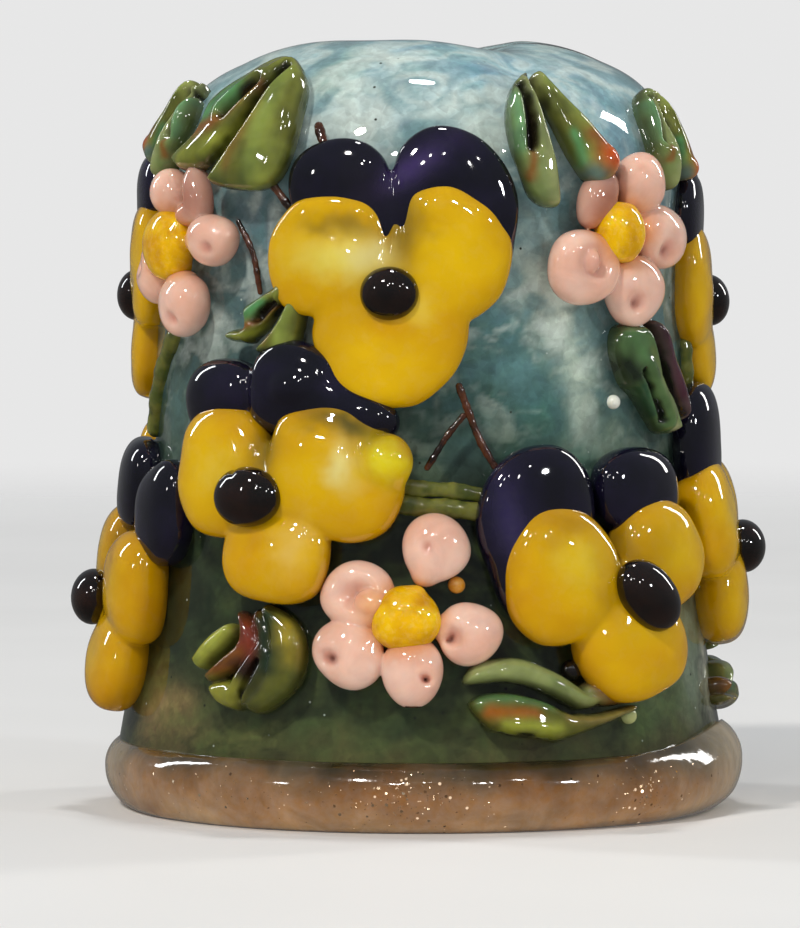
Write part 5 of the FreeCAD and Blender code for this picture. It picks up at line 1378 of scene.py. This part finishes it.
BALLS = {"B": [(1.64, -0.72, 0.52)]}
for li, (name, (az_h, z_h, kind, size, mirror, turn)) in enumerate(LEAVES.items()):
    home = (az_h, z_h)
    nearest(cad_solids(name), az_h, z_h)
    r_home = r_of(z_h)
    ca, sa = math.cos(math.radians(turn)), math.sin(math.radians(turn))

    def place(pts):
        q = np.array(pts, float) * size
        q[:, 0] *= mirror
        return np.stack([q[:, 0] * ca - q[:, 1] * sa, q[:, 0] * sa + q[:, 1] * ca], 1)

    sh = SHAPE[kind]
    jig = np.random.default_rng(SEED + 31 * li)
    own = kind in "ABDEF" and size == 1.0 and turn == 0 and abs(az_h) < 60
    lobes = [rounded(place(q) + (0 if own else jig.uniform(-0.10, 0.10, (len(q), 2)))) for q in sh["lobes"]]
    lines = [rounded(place(q), False) for q in sh["creases"]]
    strokes = [(rounded(place(q[0]), False), q[1] * size, q[2], q[3]) for q in sh["strokes"]]
    lift = [0.10 + 0.05 * ((i + li) % 2) for i in range(len(lobes))]
    # the plane distances are worked out once, on a grid, and read back smoothly
    every = np.concatenate(lobes)
    g0, g1 = every.min(0) - 0.5, every.max(0) + 0.5
    gh = 0.05
    gn = np.ceil((g1 - g0) / gh).astype(int) + 2
    gu, gv = np.meshgrid(g0[0] + gh * np.arange(gn[0]), g0[1] + gh * np.arange(gn[1]), indexing="ij")
    gp = np.stack([gu, gv], -1)
    maps = [outline_distance(gp, q) for q in lobes]
    crease_map = None
    for q in lines:
        m = path_distance(gp, q)
        crease_map = m if crease_map is None else np.minimum(crease_map, m)

    def read(grid, p):
        fu = np.clip((p[..., 0] - g0[0]) / gh, 0, gn[0] - 1.001)
        fv = np.clip((p[..., 1] - g0[1]) / gh, 0, gn[1] - 1.001)
        iu, iv = fu.astype(int), fv.astype(int)
        fu, fv = fu - iu, fv - iv
        return (grid[iu, iv] * (1 - fu) * (1 - fv) + grid[iu + 1, iv] * fu * (1 - fv) + grid[iu, iv + 1] * (1 - fu) * fv + grid[iu + 1, iv + 1] * fu * fv)

    edge, thick_l = 0.42, 0.66

    def leaf(p):
        d = None
        for m, w_l in zip(maps, lift):
            x = np.maximum(read(m, p) + edge, 0) / edge
            belly = 0.10 * np.clip(-read(m, p) / 0.9, 0, 1)
            z = (p[..., 2] - w_l) / (thick_l + belly)
            e = (np.sqrt(x * x + z * z) - 1) * edge
            d = e if d is None else smin(d, e, 0.09)
        for bu, bv, br in BALLS.get(kind, ()):
            c = place([(bu, bv)])[0]
            d = smin(d, pebble(p, c, br * size, br * size, w0=0.42, t=0.62 * size, n=2.0, m=2.0), 0.12)
        ld = read(crease_map, p)
        d = d + (0.30 if kind in "AB" else 0.20) * np.exp(-(ld / (0.16 if kind in "AB" else 0.12)) ** 2) - 0.04 * np.exp(-((ld - 0.40) / 0.18) ** 2)
        return d + 0.022 * np.sin(p[..., 0] * 2.6 + li * 2) * np.sin(p[..., 1] * 2.3 + li)

    v, f = carve(leaf, [g0[0] + 0.2, g0[1] + 0.2, -0.2], [g1[0] - 0.2, g1[1] - 0.2, 1.15], h=0.075)
    warp = np.stack([0.10 * fbm(v * 1.6 + li, 2, 5), 0.10 * fbm(v * 1.6 + 9 + li, 2, 6), 0 * v[:, 0]], 1)
    vv = v + warp
    weights = np.stack([1 / (1 + np.exp(np.clip(read(m, vv) / 0.10, -30, 30))) + 1e-4 for m in maps], 1)
    weights /= weights.sum(1, keepdims=True)
    col = weights @ np.stack(BASES[kind])
    n3 = fbm(v * 0.9 + li * 7, 3, 101)
    n4 = fbm(v * 2.6 + li * 7, 3, 103)
    for pts, wd, c, k2 in strokes:
        col = mixed(col, c, k2 * np.exp(-(path_distance(vv, pts) / wd) ** 2))
    col = mixed(col, FOREST, np.clip(-n3 * 0.5 - 0.08, 0, 0.3))
    col = col * (1 + 0.10 * n4[:, None])
    # near-black along the pressed creases: painted crease shade
    col = mixed(col, NEAR_BLACK, 0.97 * np.exp(-(read(crease_map, vv) / (0.23 * max(size, 0.7) if kind in "AB" else 0.11)) ** 4))
    rimd = np.min(np.stack([read(m, v) for m in maps], 1), 1)
    col = mixed(col, srgb(34, 34, 18), 0.7 * np.clip((rimd + 0.16) / 0.18, 0, 1))
    make_object(name + "_glass", to_world(home[0], s_of(home[1]), v, r_home), f, MAT["leaf"], [name], col)

# ------------------------------------------------------------------ stems and twigs
STEMS = {
    "stem_front": [(0.27, [(-10.6, 12.3), (-2.0, 12.05), (6.0, 11.95), (15.2, 11.7)]), (0.33, [(-10.2, 11.6), (-1.0, 11.4), (6.5, 11.3), (14.8, 11.1)])],
    "stem_left": [(0.36, [(-64.0, 17.3), (-70.0, 16.3), (-76.0, 15.1), (-80.0, 14.0)])],
    "stem_right": [(0.34, [(76.0, 17.0), (76.5, 16.2), (78.0, 15.3)]), (0.30, [(81.0, 16.9), (81.5, 16.0), (82.0, 15.4)])],
    "stem_back": [(0.28, [(152.0, 13.6), (158.0, 13.3), (164.0, 13.2)]), (0.28, [(-152.0, 13.4), (-158.0, 13.2), (-164.6, 12.8)])],
}
TWIGS = {
    "twig_front": [(0.13, [(7.5, 15.6), (9.0, 14.9), (12.0, 13.6), (17.6, 12.0)]), (0.11, [(8.3, 14.55), (5.2, 13.9), (1.0, 12.75)])],
    "twig_left": [(0.17, [(-22.8, 24.7), (-20.6, 23.9)]), (0.14, [(-35.5, 23.2), (-32.0, 22.6), (-28.5, 21.9)]), (0.11, [(-41.5, 21.4), (-37.5, 20.3), (-35.6, 18.9)])],
    "twig_back": [(0.13, [(152.5, 16.4), (149.5, 15.6), (146.5, 15.9)]), (0.13, [(-158.5, 15.9), (-155.0, 14.9), (-150.5, 14.2)])],
}


def strings(name, rods, material, tints, flat, sink):
    parts = []
    for i, (radius, stops) in enumerate(rods):
        home = stops[len(stops) // 2]
        pts2 = np.array([rel(home, *q) for q in stops])
        # a smooth curve through the stops
        n = 4 * (len(pts2) - 1) + 1
        t = np.linspace(0, len(pts2) - 1, n)
        ext = np.concatenate([[2 * pts2[0] - pts2[1]], pts2, [2 * pts2[-1] - pts2[-2]]])
        curve = []
        for x in t:
            j = min(int(x), len(pts2) - 2)
            q = x - j
            p0, p1, p2, p3 = ext[j:j + 4]
            curve.append(0.5 * ((2 * p1) + (-p0 + p2) * q + (2 * p0 - 5 * p1 + 4 * p2 - p3) * q ** 2 + (-p0 + 3 * p1 - 3 * p2 + p3) * q ** 3))
        curve = np.array(curve)
        wav = 1 + 0.10 * np.sin(np.arange(n) * 1.7 + i * 2)
        ends = np.ones(n)
        pts = [(c[0], c[1], sink * radius) for c in curve]
        radii = list(radius * wav * ends)

        def field(p):
            return rod(p, pts, radii, flat=flat, k=0.05)

        lo = curve.min(0) - radius * 1.6
        hi = curve.max(0) + radius * 1.6
        h = (0.045) if radius < 0.2 else (0.06)
        v, f = carve(field, [lo[0], lo[1], -0.2], [hi[0], hi[1], radius * 2.2], h=h)
        col = mixed(np.tile(tints[0], (len(v), 1)), tints[1], 0.5 + 0.9 * fbm(v * 1.7 + 3 * i, 3, 111))
        parts.append((to_world(home[0], s_of(home[1]), v), f, col))
    v, f, c = join(parts)
    return make_object(name + "_glass", v, f, material, [name], c)


for name, rods in STEMS.items():
    strings(name, rods, MAT["stem"], (srgb(70, 78, 32), srgb(112, 112, 50)), 0.8, 0.25)
for name, rods in TWIGS.items():
    strings(name, rods, MAT["twig"], (srgb(30, 18, 13), srgb(84, 46, 28)), 0.85, 0.3)

# ------------------------------------------------------------------ beads
DOTS = [(6.6, 8.65, 0.30, srgb(214, 150, 60)), (43.3, 15.0, 0.26, srgb(226, 226, 214)), (29.2, 5.6, 0.38, srgb(18, 14, 14)), (41.8, 3.9, 0.30, srgb(170, 176, 120)),
        (107.0, 24.0, 0.30, srgb(226, 226, 214)), (-118.0, 18.6, 0.28, srgb(214, 160, 80)), (165.0, 15.0, 0.28, srgb(226, 220, 200))]
dots_found = cad_solids("accent_dots")
parts = []
for az, z, a, c in DOTS:
    az1, z1 = nearest(dots_found, az, z)
    v, f = carve(lambda p: pebble(p, (0, 0), a, a, w0=0.08, t=a * 0.95, n=2.0, m=2.0), [-a * 1.4] * 3, [a * 1.4, a * 1.4, a * 1.7], h=0.035)
    parts.append((to_world(az, s_of(z), v), f, np.tile(c, (len(v), 1))))
v, f, c = join(parts)
make_object("accent_dots_glass", v, f, MAT["dot"], ["accent_dots"], c)

# ------------------------------------------------------------------ the cup and the goldstone band keep their own meshes
def opal():
    T = Tree("glass_opal_cup")
    pos = T.position()
    n1 = T.noise(pos, 0.35, 4.0, 0.55, 0.6)
    p = T.n("ShaderNodeBsdfPrincipled")
    T.set(p, "Base Color", T.ramp(n1.outputs[0], [(0.3, (0.62, 0.62, 0.58)), (0.7, (0.78, 0.78, 0.74))]))
    T.set(p, "Roughness", 0.16)
    T.set(p, "IOR", 1.5)
    T.set(p, "Subsurface Weight", 0.3)
    T.set(p, "Subsurface Radius", (1.0, 0.9, 0.8))
    T.set(p, "Subsurface Scale", 0.0008)
    fine = T.noise(pos, 1.6, 3.0)
    T.set(p, "Normal", T.bump(fine.outputs[0], 0.5, 0.03))
    return T.finish(p.outputs[0])


def goldstone():
    T = Tree("glass_goldstone_band")
    pos = T.position()
    v1 = T.voronoi(pos, 9.0)
    c1 = T.n("ShaderNodeSeparateColor", i0=v1.outputs["Color"])
    p = T.n("ShaderNodeBsdfPrincipled")
    T.set(p, "Base Color", T.ramp(c1.outputs[0], [(0.0, (0.16, 0.06, 0.02)), (0.55, (0.34, 0.14, 0.05)), (0.8, (0.85, 0.42, 0.18)), (1.0, (1.0, 0.72, 0.42))]))
    T.set(p, "Metallic", T.maprange(c1.outputs[0], 0.5, 0.75))
    T.set(p, "Roughness", 0.2)
    T.set(p, "Coat Weight", 0.8)
    T.set(p, "Coat Roughness", 0.02)
    return T.finish(p.outputs[0])


for node, material in (("finger_cup", opal()), ("goldstone_band", goldstone())):
    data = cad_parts[node].data
    if len(data.materials):
        for i in range(len(data.materials)):
            data.materials[i] = material
    else:
        data.materials.append(material)
    data.polygons.foreach_set("use_smooth", np.ones(len(data.polygons), bool))

# ------------------------------------------------------------------ floor
def floor_material():
    T = Tree("pale_floor")
    pos = T.position()
    n1 = T.noise(pos, 0.02, 3.0)
    p = T.n("ShaderNodeBsdfPrincipled")
    T.set(p, "Base Color", T.ramp(n1.outputs[0], [(0.35, (0.76, 0.755, 0.745)), (0.65, (0.80, 0.795, 0.785))]))
    T.set(p, "Roughness", 0.55)
    sep = T.n("ShaderNodeSeparateXYZ", i0=pos)
    r2 = T.math("SQRT", T.math("ADD", T.math("MULTIPLY", sep.outputs[0], sep.outputs[0]), T.math("MULTIPLY", sep.outputs[1], sep.outputs[1])))
    fade = T.maprange(r2, 90.0, 420.0)
    T.t.nodes[-1].interpolation_type = "SMOOTHSTEP"
    tr = T.n("ShaderNodeBsdfTransparent")
    mx = T.n("ShaderNodeMixShader")
    lp = T.n("ShaderNodeLightPath")
    T.set(mx, "i0", T.math("MAXIMUM", fade, lp.outputs["Is Glossy Ray"]))
    T.t.links.new(p.outputs[0], mx.inputs[1])
    T.t.links.new(tr.outputs[0], mx.inputs[2])
    return T.finish(mx.outputs[0])


me = bpy.data.meshes.new("floor")
n_rim = 96
ring = [(0.9 * math.cos(2 * math.pi * i / n_rim), 0.9 * math.sin(2 * math.pi * i / n_rim), 0.0) for i in range(n_rim)]
me.from_pydata(ring, [], [list(range(n_rim))])
me.materials.append(floor_material())
floor = bpy.data.objects.new("floor", me)
bpy.context.scene.collection.objects.link(floor)
floor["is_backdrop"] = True

# ------------------------------------------------------------------ light
scene = bpy.context.scene
world = bpy.data.worlds.new("studio")
scene.world = world
world.use_nodes = True
wt = world.node_tree
wt.nodes.clear()
out = wt.nodes.new("ShaderNodeOutputWorld")
seen = wt.nodes.new("ShaderNodeBackground")
seen.inputs[0].default_value = (0.80, 0.80, 0.80, 1)
seen.inputs[1].default_value = 1.0
lit = wt.nodes.new("ShaderNodeBackground")
lit.inputs[1].default_value = 0.19
geo = wt.nodes.new("ShaderNodeTexCoord")
sep = wt.nodes.new("ShaderNodeSeparateXYZ")
wt.links.new(geo.outputs["Generated"], sep.inputs[0])
grad = wt.nodes.new("ShaderNodeMapRange")
grad.interpolation_type = "SMOOTHERSTEP"
wt.links.new(sep.outputs[2], grad.inputs[0])
grad.inputs[1].default_value = -0.8
grad.inputs[2].default_value = 0.9
tone = wt.nodes.new("ShaderNodeMix")
tone.data_type = "RGBA"
wt.links.new(grad.outputs[0], tone.inputs[0])
tone.inputs[6].default_value = (0.62, 0.58, 0.54, 1)
tone.inputs[7].default_value = (0.92, 1.0, 1.08, 1)
wt.links.new(tone.outputs[2], lit.inputs[0])
lp = wt.nodes.new("ShaderNodeLightPath")
mx = wt.nodes.new("ShaderNodeMixShader")
wt.links.new(lp.outputs["Is Camera Ray"], mx.inputs[0])
wt.links.new(lit.outputs[0], mx.inputs[1])
wt.links.new(seen.outputs[0], mx.inputs[2])
wt.links.new(mx.outputs[0], out.inputs[0])


def lamp(name, at, size, power, color=(1, 1, 1), target=(0, 0, 0.013)):
    data = bpy.data.lights.new(name, "AREA")
    data.shape = "RECTANGLE" if name.startswith("rim") else "ELLIPSE"
    data.size, data.size_y = size
    data.energy = power
    data.color = color
    ob = bpy.data.objects.new(name, data)
    scene.collection.objects.link(ob)
    ob.location = at
    ob.rotation_euler = (Vector(target) - Vector(at)).to_track_quat("-Z", "Y").to_euler()
    return ob


lamp("key", (-0.26, -0.44, 0.48), (0.055, 0.07), 2.3, (1.0, 0.96, 0.91))
lamp("fill", (0.50, -0.35, 0.22), (0.06, 0.05), 0.75, (0.92, 0.96, 1.0))
lamp("rim_left", (-0.45, 0.22, 0.30), (0.05, 0.30), 0.8, (0.95, 0.98, 1.0))
lamp("rim_right", (0.42, 0.26, 0.26), (0.05, 0.30), 0.8, (1.0, 0.98, 0.95))
lamp("top", (0.02, 0.05, 0.55), (0.07, 0.05), 0.8)
# small bare bulbs, unevenly hung, for the pinpoint glints
for i, (x, y, z, w, h2, watts) in enumerate(((-0.085, -0.42, 0.235, 0.018, 0.022, 0.10), (-0.050, -0.40, 0.275, 0.012, 0.016, 0.05), (0.030, -0.44, 0.300, 0.014, 0.020, 0.06),
                                              (0.175, -0.37, 0.190, 0.013, 0.030, 0.07), (0.240, -0.30, 0.240, 0.014, 0.016, 0.05), (-0.330, -0.26, 0.150, 0.014, 0.030, 0.07))):
    lamp("bulb_%d" % i, (x, y, z), (w, h2), watts, (1.0, 0.98, 0.95))

# ------------------------------------------------------------------ camera
cam_data = bpy.data.cameras.new("camera")
cam_data.lens = 188.5
cam_data.sensor_width = 36.0
cam_data.sensor_fit = "AUTO"
cam_data.clip_start = 0.005
cam_data.clip_end = 20.0
cam = bpy.data.objects.new("camera", cam_data)
scene.collection.objects.link(cam)
target = Vector((-0.000778, 0.0, 0.01257))
back = Vector((0.0, -math.cos(math.radians(1.8)), math.sin(math.radians(1.8))))
cam.location = target + back * 0.18
cam.rotation_euler = (-back).to_track_quat("-Z", "Y").to_euler()
scene.camera = cam
scene.view_settings.view_transform = "Standard"
scene.view_settings.look = "None"

# ------------------------------------------------------------------ sizes
bpy.context.view_layer.update()
lo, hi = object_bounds()
